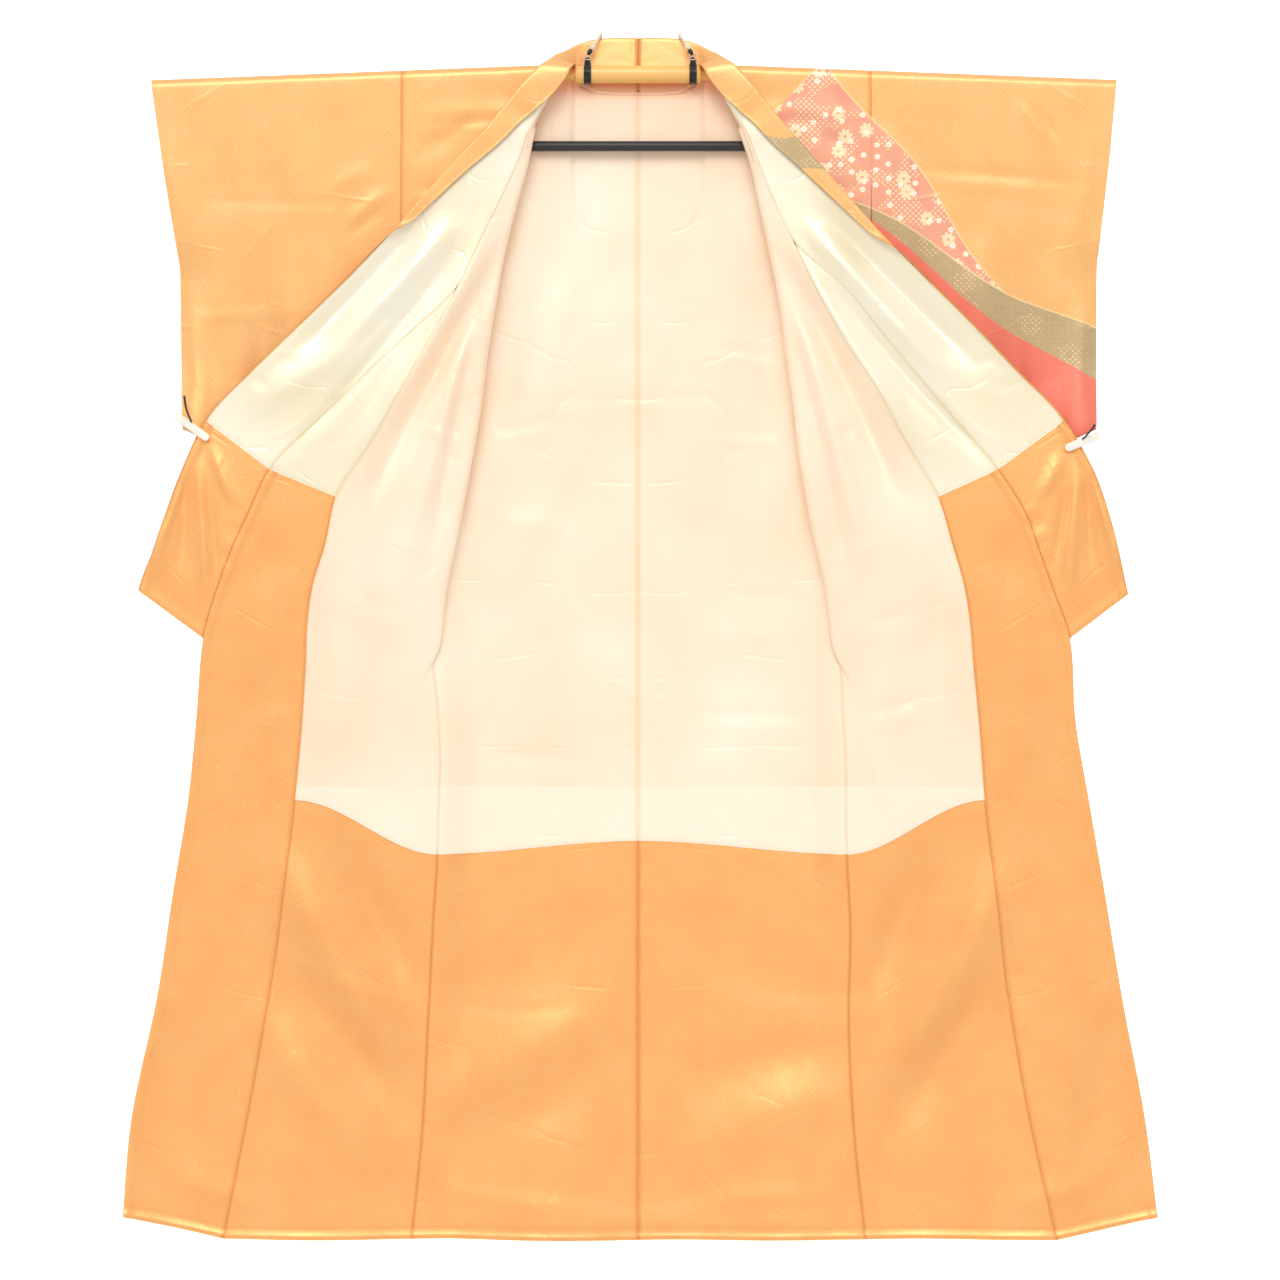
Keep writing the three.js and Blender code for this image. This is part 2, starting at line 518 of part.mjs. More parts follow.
/** Clip: a U of two jaws that holds the collar's edge to the sleeve's corner. */
function clip({ x, z, length, angle }) {
  const shape = [
    [0, CLIP.front], [length, CLIP.front], [length, CLIP.back], [0.35 * length, CLIP.back],
    [0.35 * length, CLIP.back - CLIP.jaw], [length - CLIP.jaw, CLIP.back - CLIP.jaw],
    [length - CLIP.jaw, CLIP.front + CLIP.jaw], [0, CLIP.front + CLIP.jaw],
  ];
  const outline = new THREE.Shape(shape.map(([u, y]) => new THREE.Vector2(u, y)));
  const geometry = new THREE.ExtrudeGeometry(outline, { depth: CLIP.width, bevelEnabled: false });
  geometry.translate(0, 0, -CLIP.width / 2);
  geometry.rotateY(rad(angle));
  geometry.translate(x, 0, z);
  return geometry;
}
const CLIPS = {
  left: { x: 579, z: -513, length: 50, angle: -22 },
  right: { x: -582, z: -500, length: 56, angle: -144 },
};
const CLIP_LEVERS = {
  left: [V(602, -37.2, -500), V(614, -37.2, -488), V(619, -37.2, -480)],
  right: [V(-605, -37.2, -477), V(-612, -37.2, -459), V(-615, -37.2, -441)],
};

// ---- assembly ------------------------------------------------------------------------------
const FINISHES = {
  silk: { color: 0xfeb870, roughness: 0.45, metalness: 0 },
  cream: { color: 0xf8efd2, roughness: 0.5, metalness: 0 },
  tube: { color: 0xf9b552, roughness: 0.35, metalness: 0 },
  dark: { color: 0x303030, roughness: 0.4, metalness: 0 },
  white: { color: 0xeeeae0, roughness: 0.45, metalness: 0 },
};
const part = new THREE.Group();
part.name = "houmongi_kimono";
/** Adds one named piece in its own material. */
function add(name, geometry, finish) {
  const mesh = new THREE.Mesh(geometry, new THREE.MeshStandardMaterial(FINISHES[finish]));
  mesh.name = name;
  mesh.material.side = THREE.DoubleSide;
  part.add(mesh);
}

for (const [name, side, rows] of [["left", 1, LEFT], ["right", -1, RIGHT]]) {
  const front = rows.map((row, i) => frontRow(side, row, DEPTHS[i], i));
  const back = rows.map((row, i) => backRow(side, row, DEPTHS[i], i));
  const top = ROWS.kensaki[name];
  const okumi = rows.slice(top).map((row, i) => okumiRow(side, row, DEPTHS[i + top]));
  const collar = collarRows(side, rows);
  const [frontN, backN, okumiN, collarN] = normalsOf(side, [front, back, okumi, collar]);
  [...frontN[0], ...backN[0].slice(NECK.length - 1)].forEach((n) => n.set(0, 0, 1));
  const inside = [-GAP - LINING, -GAP];
  const neckRows = NECK.length - 1;
  const okumiSplit = ROWS.okumiLining - top;
  const collarSplit = ROWS.okumiLining + neckRows;
  const lining = { rows: [0, ROWS.bodyLining] };
  const hem = { rows: [ROWS.bodyLining, ROWS.hem], trim: [1, 1, 1, 8] };

  add("back_" + name, wall(back, backN, 0, CLOTH, {}), "silk");
  add("back_lining_" + name, wall(back, backN, ...inside, lining), "cream");
  add("back_hem_lining_" + name, wall(back, backN, ...inside, hem), "silk");
  add("front_" + name, wall(front, frontN, 0, CLOTH, { trim: [1, 3, 1, 1] }), "silk");
  add("front_lining_" + name, wall(front, frontN, ...inside, lining), "cream");
  add("front_hem_lining_" + name, wall(front, frontN, ...inside, hem), "silk");
  add("okumi_" + name, wall(okumi, okumiN, 0, CLOTH, {}), "silk");
  add("okumi_lining_" + name, wall(okumi, okumiN, ...inside, { rows: [0, okumiSplit] }), "cream");
  add("okumi_hem_lining_" + name,
    wall(okumi, okumiN, ...inside, { rows: [okumiSplit, okumi.length - 1], trim: [1, 8, 1, 8] }), "silk");
  add("collar_" + name, wall(collar, collarN, 0, CLOTH, { trim: COLLAR_TRIM }), "silk");
  add("collar_lining_" + name,
    wall(collar, collarN, inside[0] - 0.2, inside[1] - 0.2, { rows: [0, collarSplit], trim: COLLAR_TRIM }), "cream");
  add("collar_tip_lining_" + name,
    wall(collar, collarN, ...inside, { rows: [collarSplit, collar.length - 1] }), "silk");
  add("sleeve_" + name, sleeve(side, rows[0].sideX), "silk");
  add("ring_" + name, ring(side > 0 ? 75 : -69), "dark");
  add("collar_hook_" + name, collarHook(side > 0 ? 75 : -69, side > 0 ? -8 : 8), "white");
  add("sash_link_" + name, link(side), "dark");
  add("clip_" + name, clip(CLIPS[name]), "white");
  add("clip_lever_" + name, tube(CLIP_LEVERS[name], 1.6, 8), "dark");
}
add("hanger_rod", rod(), "tube");
add("sash_bar", skin([-1, 1].map((end) => circleX(BAR.x + end * BAR.half, 0, BAR.z, BAR.radius, 16))), "dark");

export default part;
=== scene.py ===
"""Houmongi kimono hung open on a sleeve rod: silk, linings, hanger, clips, light and camera.

Sizes are real ones in millimetres unless a name says otherwise. x grows outwards from the garment's
centre line on either side, y away from the side that is seen, z up, from the rod's axis.
"""

import logging
import math
from dataclasses import astuple, dataclass, fields
from enum import Enum
from types import SimpleNamespace
from typing import Any, Callable, Sequence

import bmesh
import bpy
import numpy as np
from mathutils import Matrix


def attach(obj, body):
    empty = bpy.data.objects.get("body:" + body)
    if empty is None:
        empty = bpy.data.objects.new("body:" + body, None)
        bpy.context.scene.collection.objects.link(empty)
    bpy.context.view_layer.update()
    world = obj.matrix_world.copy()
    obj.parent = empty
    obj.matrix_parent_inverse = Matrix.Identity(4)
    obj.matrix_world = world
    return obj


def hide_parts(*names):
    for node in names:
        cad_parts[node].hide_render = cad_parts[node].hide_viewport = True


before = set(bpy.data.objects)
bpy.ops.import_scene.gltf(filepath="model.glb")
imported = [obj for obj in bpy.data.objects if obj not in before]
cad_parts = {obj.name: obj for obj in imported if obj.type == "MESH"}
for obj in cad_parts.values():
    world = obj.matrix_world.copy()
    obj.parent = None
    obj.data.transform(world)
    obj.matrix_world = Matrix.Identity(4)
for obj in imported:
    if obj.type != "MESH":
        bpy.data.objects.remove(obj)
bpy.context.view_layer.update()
LOG = logging.getLogger("kimono")
Socket = bpy.types.NodeSocket
Place = tuple[float, float, float]

MM = 0.001
WAVE_PERIOD = math.pi / 10  # length of one band of a wave texture at scale 1
HANG = 11.5  # cloth surface's distance from the rod's axis
ARM_START = 140.0  # the hanger's arms slope down from here
ARM_SLOPE = math.tan(math.radians(2.2))
FOLD_RADIUS = 6.0  # where the opened front turns over
TURN_RADIUS = 4.6  # where the collar turns back at its seam
ROLL_RADIUS = 3.0  # where the collar turns over along its outer edge
SILK = (0.2, 0.7)  # outer silk, from and to this far outside the cloth's middle
LINING = (-0.75, -0.25)  # lining, the same
SEAM_LAP = 0.25  # each piece passes its seam line by this much, so no light shows through
SEAM_TUCK = 0.45  # a seam draws the cloth in by this much
LIP = 3.2  # the outer silk shows this far past the lining along the collar
BACK_DEPTH = 14.5
LINING_END = -1047.0  # where the back's lining ends at the centre
LINING_END_SIDE = -1065.0
HEM = -1594.0
JOIN = 0.012  # of a section, on both sides of a line where two pieces meet
SECTION_ANGLE = 45.0  # each of the first two sections turns over the rod by this much, degrees
FALL = 300.0  # the slope of the hanger's arms fades out of the cloth over this height
TURNING = ((3, 4, 5), (0, 0.5, 1))  # sections over which the collar's turn at its seam opens out


class SideName(Enum):
    """The wearer's two sides, with the sign of their x."""

    LEFT = 1
    RIGHT = -1

    @property
    def word(self) -> str:
        """Lower-case name used in node names."""
        return self.name.lower()


# ---- sections of the opened front -----------------------------------------------------------
@dataclass(frozen=True)
class Section:
    """One section across the opened front, from the side seam out to the collar's edge."""

    side_x: float
    side_z: float
    fold_x: float
    seam_x: float
    seam_z: float
    edge_x: float
    edge_z: float
    wing_x: float
    wing_z: float
    flap: float


@dataclass(frozen=True)
class Depth:
    """Depths of one section: side, hidden layer, visible layer at the fold, seam, edge, wing."""

    side_y: float
    hidden_y: float
    fold_y: float
    seam_y: float
    edge_y: float
    wing_y: float


RIGHT_SECTIONS = tuple(Section(*row) for row in (
    (323, 0, 93, 93, 0, 93, 0, 111, 27, 27), (323, 0, 98, 98, 0, 98, 0, 121, 18, 33),
    (323, 0, 104, 104, 0, 104, 0, 134, 8, 38), (323, -45, 131, 131, -43, 131, -43, 160, -19, 35),
    (323, -62, 135, 135, -59, 135, -59, 171, -32, 32), (323, -80, 140, 146, -75, 146, -75, 182, -46, 29),
    (323, -125, 149, 160, -114, 160, -114, 206, -76, 25), (323, -190, 166, 185, -170, 185, -170, 248, -120, 19),
    (321, -255, 182, 217, -235, 217, -235, 294, -172, 12), (320, -318, 193, 247, -297, 249, -297, 340, -225, 4),
    (318, -375, 203, 282, -360, 303, -350, 394, -279, 0), (308, -470, 214, 321, -430, 369, -410, 458, -341, 0),
    (298, -560, 229, 363, -505, 435, -475, 524, -405, 0), (288, -660, 247, 410, -578, 500, -541, 588, -474, 0),
    (284, -730, 262, 424, -640, 528, -600, 621, -545, 0), (281, -799, 269, 442, -700, 553, -655, 643, -606, 0),
    (274, -860, 272, 449, -750, 574, -713, 660, -655, 0), (270, -925, 270, 451, -800, 590, -770, 678, -705, 0),
    (272, -995, 272, 457, -890, 600, -880, 690, -800, 0), (274, -1065, 274, 467, -990, 611, -985, 690, -900, 0),
    (280, -1160, 280, 482, -1110, 632, -1110, 690, -1000, 0),
    (287, -1290, 287, 502, -1250, 654, -1250, 690, -1100, 0),
    (295, -1440, 295, 534, -1425, 690, -1420, 690, -1200, 0),
    (310, -1592, 310, 567, -1590, 703, -1559, 690, -1300, 0),
))
LEFT_SECTIONS = tuple(Section(*row) for row in (
    (318, 0, 92, 92, 0, 92, 0, 109, 27, 27), (318, 0, 97, 97, 0, 97, 0, 119, 19, 33),
    (318, 0, 103, 103, 0, 103, 0, 131, 10, 38), (318, -45, 127, 127, -43, 127, -43, 156, -18, 35),
    (318, -62, 131, 131, -59, 131, -59, 167, -32, 32), (318, -80, 137, 144, -75, 144, -75, 178, -46, 29),
    (318, -125, 152, 160, -114, 160, -114, 202, -76, 26), (317, -190, 166, 182, -170, 182, -170, 243, -122, 20),
    (316, -255, 180, 213, -235, 215, -235, 290, -176, 13), (315, -318, 192, 242, -297, 284, -297, 346, -238, 5),
    (313, -375, 200, 277, -360, 327, -350, 397, -286, 0), (303, -470, 212, 323, -430, 377, -410, 452, -340, 0),
    (293, -560, 223, 364, -505, 432, -475, 514, -405, 0), (283, -660, 240, 407, -578, 488, -541, 580, -474, 0),
    (279, -730, 256, 426, -640, 525, -600, 620, -545, 0), (278, -799, 265, 443, -700, 545, -655, 640, -606, 0),
    (279, -860, 275, 451, -750, 566, -713, 653, -655, 0), (283, -925, 283, 455, -800, 586, -770, 665, -710, 0),
    (284, -995, 284, 464, -890, 594, -880, 690, -800, 0), (285, -1065, 285, 472, -990, 612, -985, 690, -900, 0),
    (290, -1160, 290, 487, -1110, 634, -1110, 690, -1000, 0),
    (288, -1290, 288, 504, -1250, 658, -1250, 690, -1100, 0),
    (295, -1440, 295, 534, -1425, 691, -1420, 690, -1200, 0),
    (311, -1592, 311, 571, -1590, 710, -1561, 690, -1300, 0),
))
DEPTHS = tuple(Depth(*row) for row in (
    (-11.5, -11.5, -11.5, 0, 0, 2), (-11.5, -11.5, -11.5, 0, 0, -12), (-11.5, -11.5, -11.5, -11.5, -11.5, -19),
    (-11.5, -11.5, -11.5, -12, -12, -24), (-11.5, -11.5, -20.7, -16.1, -16.1, -25),
    (-11.5, -11.5, -22, -22.6, -22.6, -26), (-11.5, -11.5, -23, -24.5, -24.5, -28),
    (-11.5, -11, -24, -26, -26, -29), (-11, -10.5, -24, -28, -28, -30), (-7, -10, -24, -29, -29, -31),
    (2, -9, -23, -30, -31, -32), (2, -9, -23, -31, -32, -32), (2, -9, -22, -32, -33, -31),
    (2, -7, -19, -32, -33, -26), (2, -5, -14, -32, -33, -29), (2, -2, -7, -31, -33, -32),
    (1, 1, 1, -29, -32, -32), (0, 0, 0, -27, -30, -30), (0, 0, 0, -22, -26, -26), (1, 1, 1, -17, -22, -22),
    (3, 3, 3, -11, -17, -17), (6, 6, 6, -6, -12, -12), (8, 8, 8, -1, -7, -7), (9, 9, 9, 1, -4, -4),
))


class Row:
    """Numbers of the sections where something starts or ends."""

    OVER_ROD = 2.0
    TURN_END = 5.0
    JOINED = 10.0
    OKUMI_LINING = 13.0
    COLLAR_END = 17.0
    BODY_LINING = 19.0
    HEM = 23.0
    KENSAKI = {SideName.LEFT: 8.0, SideName.RIGHT: 9.0}


@dataclass(frozen=True)
class NeckPoint:
    """One place along the back neck: the seam round the rod, and the collar's fold beside it."""

    share: float  # of the back panel's width
    angle: float  # round the rod from straight up, degrees
    radius: float
    fold_x: float
    fold_y: float
    fold_z: float
    flap: float


NECK = tuple(NeckPoint(*row) for row in (
    (0.0, 143, 27.6, 0, 24, 52, 46), (0.1, 143, 27.6, 38, 24, 52, 44), (0.187, 138, 25.0, 64, 23, 49, 34),
    (0.25, 104, 17.2, 84, 19, 42, 25), (0.268, 60, 15.6, 94, 14, 36, 21), (0.28, 28, 13.5, 102, 8, 31, 22),
    (0.289, 0, 11.5, 110, 2, 27, 27),
))


# ---- creases and soft waves ------------------------------------------------------------------
def mix(a: Any, b: Any, t: Any) -> Any:
    """Value at share t of the way from a to b."""
    return a + (b - a) * t


def ramp(t: Any) -> Any:
    """Smooth step from 0 to 1."""
    t = np.clip(t, 0.0, 1.0)
    return t * t * (3 - 2 * t)


@dataclass(frozen=True)
class Crease:
    """A soft trough or ridge along a line in the front view, in true x and z.

    Attributes:
        x0, z0: where it starts.
        x1, z1: where it ends.
        width: half width where it has fallen to a third.
        depth: height towards the viewer, negative for a trough.
        bow: how far the middle of the line bows sideways.
    """

    x0: float
    z0: float
    x1: float
    z1: float
    width: float
    depth: float
    bow: float = 0.0
    taper: float = 0.38  # share of its length over which each end fades out

    def height(self, x: np.ndarray, z: np.ndarray) -> np.ndarray:
        """Rise towards the viewer at places of true x and z."""
        dx, dz = self.x1 - self.x0, self.z1 - self.z0
        length = math.hypot(dx, dz)
        ux, uz = dx / length, dz / length
        x, z = x - self.x0, z - self.z0
        along = (x * ux + z * uz) / length
        across = x * uz - z * ux - self.bow * 4 * along * (1 - along)
        ends = ramp(along / self.taper) * ramp((1 - along) / self.taper)
        return self.depth * ends * np.exp(-((across / self.width) ** 2))


def creases(*rows: tuple[float, ...]) -> tuple[Crease, ...]:
    """Creases from rows of x0, z0, x1, z1, width, depth and bow."""
    return tuple(Crease(*row) for row in rows)


BACK_CREASES = creases(
    (-85, -155, -71, -246, 4, -1.2), (-63, -440, -60, -640, 3, -1.0), (15, -103, 15, -440, 2.5, -0.9),
    (86, -162, 71, -240, 4, -1.2), (79, -368, 199, -386, 4, -0.9), (84, -380, 205, -398, 7, 0.7),
    (-213, -448, 199, -439, 3.5, -0.8), (-205, -458, 120, -450, 6, 0.6), (-220, -492, -91, -470, 4, -0.9),
    (-215, -503, -100, -482, 6, 0.7), (86, -486, 206, -490, 4, -0.8), (86, -498, 206, -502, 6, 0.8),
    (-91, -240, -156, -559, 24, 3.6, 6), (-140, -240, -196, -520, 20, -3.0, 6),
    (112, -253, 85, -663, 26, 2.8, -6), (160, -240, 178, -560, 20, -2.4, -6),
    (-120, -560, -210, -760, 26, 2.6, 8), (-60, -500, -130, -760, 22, -2.2, 8),
    (96, -700, 250, -716, 8, -0.9, 6), (70, -752, 215, -764, 12, 0.8, 5), (-205, -610, -70, -640, 14, 1.2, -10),
    (9, -60, 9, -1000, 4, 0.9),
)
RIGHT_FRONT_CREASES = creases(
    (-262, -166, -475, -396, 13, -9.0, -3), (-236, -186, -430, -402, 14, 8.5, -3),
    (-229, -222, -490, -535, 9, -5.0, -6), (-181, -192, -400, -545, 16, 9.0, -10),
    (-330, -350, -560, -480, 20, 3.5, 6), (-172, -212, -378, -612, 15, -12.0, 4),
    (-198, -260, -330, -730, 15, 7.5, 6), (-196, -236, -290, -740, 9, -4.5, 8),
    (-380, -560, -350, -860, 26, 3.5, 10), (-420, -600, -400, -860, 16, -3.0, 6),
    (-493, -387, -460, -400, 3, -1.5), (-445, -409, -405, -431, 3, -1.5), (-366, -324, -324, -337, 3, -1.5),
    (-531, -415, -489, -433, 3, -1.4), (-322, -465, -225, -495, 4, -1.2), (-318, -474, -225, -504, 5, 1.0),
    (-286, -402, -225, -412, 4, -1.6), (-290, -514, -235, -529, 6, -1.5), (-330, -640, -262, -664, 9, 1.8),
    (-392, -700, -300, -740, 10, -2.0, 6), (-584, -498, -540, -600, 6, 4.2, 2),
    (-590, -530, -566, -700, 7, -3.6, 3), (-600, -500, -588, -735, 9, 4.8, -5),
    (-616, -530, -622, -690, 9, -4.2, -4), (-634, -590, -652, -700, 11, 4.2, 4),
    (-560, -600, -532, -618, 3.5, 1.8), (-554, -612, -532, -626, 3, -1.6), (-566, -636, -540, -650, 3.5, 1.8),
    (-570, -668, -550, -684, 3.5, 1.6), (-574, -648, -548, -664, 3, -1.5),
    (-470, -650, -520, -860, 26, 4.0, 10), (-500, -600, -480, -820, 18, -3.2, 8),
    (-470, -860, -520, -900, 12, 2.2),
)
LEFT_FRONT_CREASES = creases(
    (232, -166, 480, -420, 13, -10.0, 3), (212, -185, 440, -440, 15, 11.0, 3),
    (283, -165, 580, -450, 13, 6.0, 2), (232, -258, 501, -556, 10, -7.0, 6),
    (196, -209, 408, -548, 16, 11.0, 8), (187, -226, 366, -606, 15, -12.0, -4),
    (200, -280, 322, -725, 15, 7.5, -6), (198, -300, 286, -720, 9, -4.5, -8),
    (372, -560, 352, -860, 26, 3.5, -10), (420, -600, 400, -840, 16, -3.0, -6), (450, -404, 488, -386, 3, -1.5),
    (486, -433, 526, -416, 3, -1.5), (256, -415, 310, -396, 3.5, -1.7), (262, -497, 310, -476, 3.5, -1.7),
    (560, -470, 600, -486, 3, -1.3), (330, -640, 268, -668, 9, 1.8), (392, -720, 300, -750, 10, -2.0, -6),
    (578, -512, 538, -590, 6, 4.4, -2), (590, -520, 560, -690, 7, -3.8, -3), (600, -512, 584, -735, 9, 5.0, 4),
    (612, -540, 618, -690, 8, -4.2, 3), (626, -560, 648, -700, 11, 4.4, -4), (548, -588, 520, -606, 3.5, 1.8),
    (556, -604, 524, -622, 3, -1.7), (562, -622, 532, -640, 3.5, 1.8), (566, -656, 546, -672, 3, -1.5),
    (470, -650, 524, -860, 26, 4.0, -10), (500, -600, 484, -820, 18, -3.2, -8),
    (540, -760, 500, -1000, 24, 3.0, -8),
)
BODY_CREASES = creases(
    (-500, -1020, -290, -1380, 32, 14.0, 14), (-415, -1000, -280, -1290, 28, -10.0, 10),
    (-530, -1130, -290, -1460, 32, -12.0, 12), (-540, -1250, -300, -1530, 34, 8.0, 12),
    (20, -1256, -330, -1452, 36, 6.5, 18), (-30, -1365, -290, -1515, 36, -6.0, 14),
    (-60, -1120, -290, -1335, 50, -5.5), (510, -1040, 316, -1400, 32, 14.0, -14),
    (400, -1000, 300, -1300, 28, -9.5, -10), (530, -1160, 320, -1480, 32, -11.0, -12),
    (0, -1500, 340, -1386, 36, 5.5, -14), (50, -1400, 306, -1310, 38, -6.0, -12),
    (60, -1130, 300, -1310, 50, -4.5), (-525, -1168, -288, -1262, 6, -1.5, 5),
    (-290, -1268, -70, -1272, 6, -0.8, 7), (-520, -1184, -300, -1274, 10, 1.1, 5),
    (136, -1256, 352, -1254, 8, -1.0), (498, -1236, 538, -1216, 8, -2.2),
    (-640, -1250, -600, -1510, 28, -6.0, 6), (640, -1250, 606, -1510, 28, -6.0, -6),
    (-650, -1500, -480, -1545, 18, 3.0, 6), (480, -1545, 650, -1500, 18, 3.0, 6),
    (-420, -1560, 420, -1566, 20, 3.2, 4), (-300, -1516, -40, -1548, 14, 2.4, 8),
    (40, -1552, 290, -1530, 14, 2.4, -8), (-336, -1000, -330, -860, 16, 1.6),
    (-205, -1050, -195, -900, 22, 1.4), (190, -1050, 205, -900, 22, 1.3), (335, -1010, 320, -890, 14, 1.6),
    (30, -874, 282, -880, 6, -0.9, -5), (60, -892, 275, -897, 12, 0.8), (282, -876, 412, -838, 7, -1.3, 6),
    (300, -900, 400, -862, 12, 1.0), (-235, -930, -40, -948, 12, -1.3, -8), (-61, -1050, -61, -1285, 3.5, -1.0),
    (-46, -1380, -45, -1560, 3.5, -0.9), (46, -1400, 47, -1540, 3.5, -0.9),
)
HIDDEN_FRONT_CREASES = creases(
    (150, -30, 300, -190, 16, 1.4, 8), (180, -40, 316, -130, 10, -1.2, -6), (318, -165, 205, -215, 9, 1.5, 5),
    (312, -150, 215, -190, 7, -1.2, 5),
)
RIGHT_SLEEVE_CREASES = creases(
    (-330, -150, -405, -208, 8, 2.2, 4), (-340, -178, -400, -222, 6, -1.8, 3),
    (-350, -120, -430, -160, 10, 1.2, 5), (-640, -60, -605, -235, 14, 1.8, 8),
    (-600, -40, -560, -200, 18, -1.5, -8), (-440, -50, -420, -330, 26, 1.5, 12),
    (-520, -60, -500, -300, 22, -1.3, -10), (-645, -160, -360, -172, 5, -0.9), (-620, -330, -440, -318, 9, 1.3),
    (-612, -270, -585, -480, 16, 2.6, 6), (-560, -300, -545, -470, 15, -2.4, 5),
)
LEFT_SLEEVE_CREASES = creases(
    (326, -60, 372, -150, 12, 1.8, -8), (330, -120, 640, -138, 5, -1.0), (365, -140, 610, -152, 11, 1.1),
    (345, -30, 430, -190, 20, -1.5, 10), (510, -20, 560, -90, 9, 1.8, -5), (520, -22, 575, -84, 6, -1.4, -5),
    (612, -50, 596, -240, 13, 1.8, -6), (575, -60, 560, -300, 20, -1.4, 6), (460, -200, 450, -330, 24, 1.4, -8),
    (612, -270, 592, -480, 15, 2.6, -6), (560, -300, 548, -470, 15, -2.4, -5),
)
SLEEVE_BACK_CREASES = creases(
    (350, -60, 420, -260, 20, 1.6, 10), (520, -60, 500, -320, 24, -1.6, -8), (340, -168, 630, -150, 6, -1.0),
    (600, -200, 560, -470, 18, 2.2, 8),
)


def relief(rows: Sequence[Crease], x: np.ndarray, z: np.ndarray) -> np.ndarray:
    """Sum of a set of creases at places in the front view."""
    return sum((crease.height(x, z) for crease in rows), np.zeros_like(x))


def hem_wave(x: np.ndarray, z: np.ndarray) -> np.ndarray:
    """Broad folds that grow towards the hem, met by both halves at the centre."""
    return 9 * ramp((-950 - z) / 640) * np.sin(2 * np.pi * (x + 40) / 330)


def arm_z(x: Any) -> Any:
    """How far the hanger's arm has dropped at a distance from the centre."""
    return -np.maximum(0.0, np.abs(x) - ARM_START) * ARM_SLOPE


# ---- curves and meshes ----------------------------------------------------------------------
def through(rows: np.ndarray, knots: np.ndarray, at: np.ndarray) -> np.ndarray:
    """Smooth curve through rows of values.

    Args:
        rows: one row of values per knot.
        knots: rising place of each row.
        at: places to work out.

    Returns:
        One row of values per place.
    """
    step = np.diff(knots)[:, None]
    slope = np.diff(rows, axis=0) / step
    tangent = np.concatenate((slope[:1], slope[1:], slope[-1:]))
    tangent[1:-1] = (slope[:-1] * step[1:] + slope[1:] * step[:-1]) / (step[1:] + step[:-1])
    i = np.clip(np.searchsorted(knots, at, side="right") - 1, 0, len(step) - 1)
    h = step[i]
    t = (at - knots[i])[:, None] / h
    return (rows[i] * (2 * t**3 - 3 * t**2 + 1) + tangent[i] * h * (t**3 - 2 * t**2 + t)
            + rows[i + 1] * (3 * t**2 - 2 * t**3) + tangent[i + 1] * h * (t**3 - t**2))


def columns_at(table: np.ndarray, knots: Sequence[float], at: np.ndarray) -> np.ndarray:
    """Straight-line values of each column of a table at places among its knots."""
    return np.stack([np.interp(at, knots, column) for column in table.T], axis=1)


def lengths(path: np.ndarray) -> np.ndarray:
    """Length along a path at each of its points."""
    return np.concatenate(([0.0], np.cumsum(np.linalg.norm(np.diff(path, axis=0), axis=1))))


def spaced(path: np.ndarray, shares: np.ndarray) -> np.ndarray:
    """Points of a path at shares of its length."""
    run = lengths(path)
    return columns_at(path, run, shares * run[-1])


def parts(*stops: tuple[float, int]) -> np.ndarray:
    """Rising shares from 0 to 1.

    Args:
        stops: pairs of the share reached and the number of even cells up to it.

    Returns:
        The shares.
    """
    shares = [0.0]
    for stop, cells in stops:
        start = shares[-1]
        shares += [mix(start, stop, (i + 1) / cells) for i in range(cells)]
    return np.array(shares)


@dataclass
class Cloth:
    """A piece of cloth as a grid of points, rows from the shoulder down and columns across.

    Attributes:
        points: rows by columns by 3, in mm, true x.
        outward: 1 or -1, which way round the grid's normal points to the outer silk.
    """

    points: np.ndarray
    outward: float

    def normals(self) -> np.ndarray:
        """Unit normals to the outer silk's side."""
        across, down = np.gradient(self.points, axis=1), np.gradient(self.points, axis=0)
        n = np.cross(across, down) * self.outward
        return n / np.maximum(np.linalg.norm(n, axis=2, keepdims=True), 1e-9)

    def run(self, axis: int) -> np.ndarray:
        """Distance over the cloth from its first row (axis 0) or its first column (axis 1)."""
        step = np.linalg.norm(np.diff(self.points, axis=axis), axis=2)
        return np.insert(np.cumsum(step, axis=axis), 0, 0.0, axis=axis)

    def cut(self, first: int, last: int) -> "Cloth":
        """The same cloth between two rows, both kept."""
        return Cloth(self.points[first : last + 1].copy(), self.outward)


class Edge(Enum):
    """How an edge of a piece is finished, with how far it passes its own line."""

    SEAM = ("tucked in where it is sewn", SEAM_LAP)
    FREE = ("left flat", 0.0)
    ROLL = ("rolled into a thin bead", 0.0)
    LIP = ("carried past the lining as a thin lip", LIP)


def quads(rows: int, columns: int, loop_rows: bool = False, loop_columns: bool = False) -> np.ndarray:
    """Quads between the points of a grid that is numbered row by row.

    Args:
        rows: number of rows.
        columns: number of columns.
        loop_rows: whether the last row joins the first.
        loop_columns: whether the last column joins the first.

    Returns:
        Four vertex numbers per face.
    """
    index = np.arange(rows * columns).reshape(rows, columns)
    index = np.concatenate((index, index[:1])) if loop_rows else index
    index = np.concatenate((index, index[:, :1]), axis=1) if loop_columns else index
    return np.stack((index[:-1, :-1], index[1:, :-1], index[1:, 1:], index[:-1, 1:]), axis=-1).reshape(-1, 4)


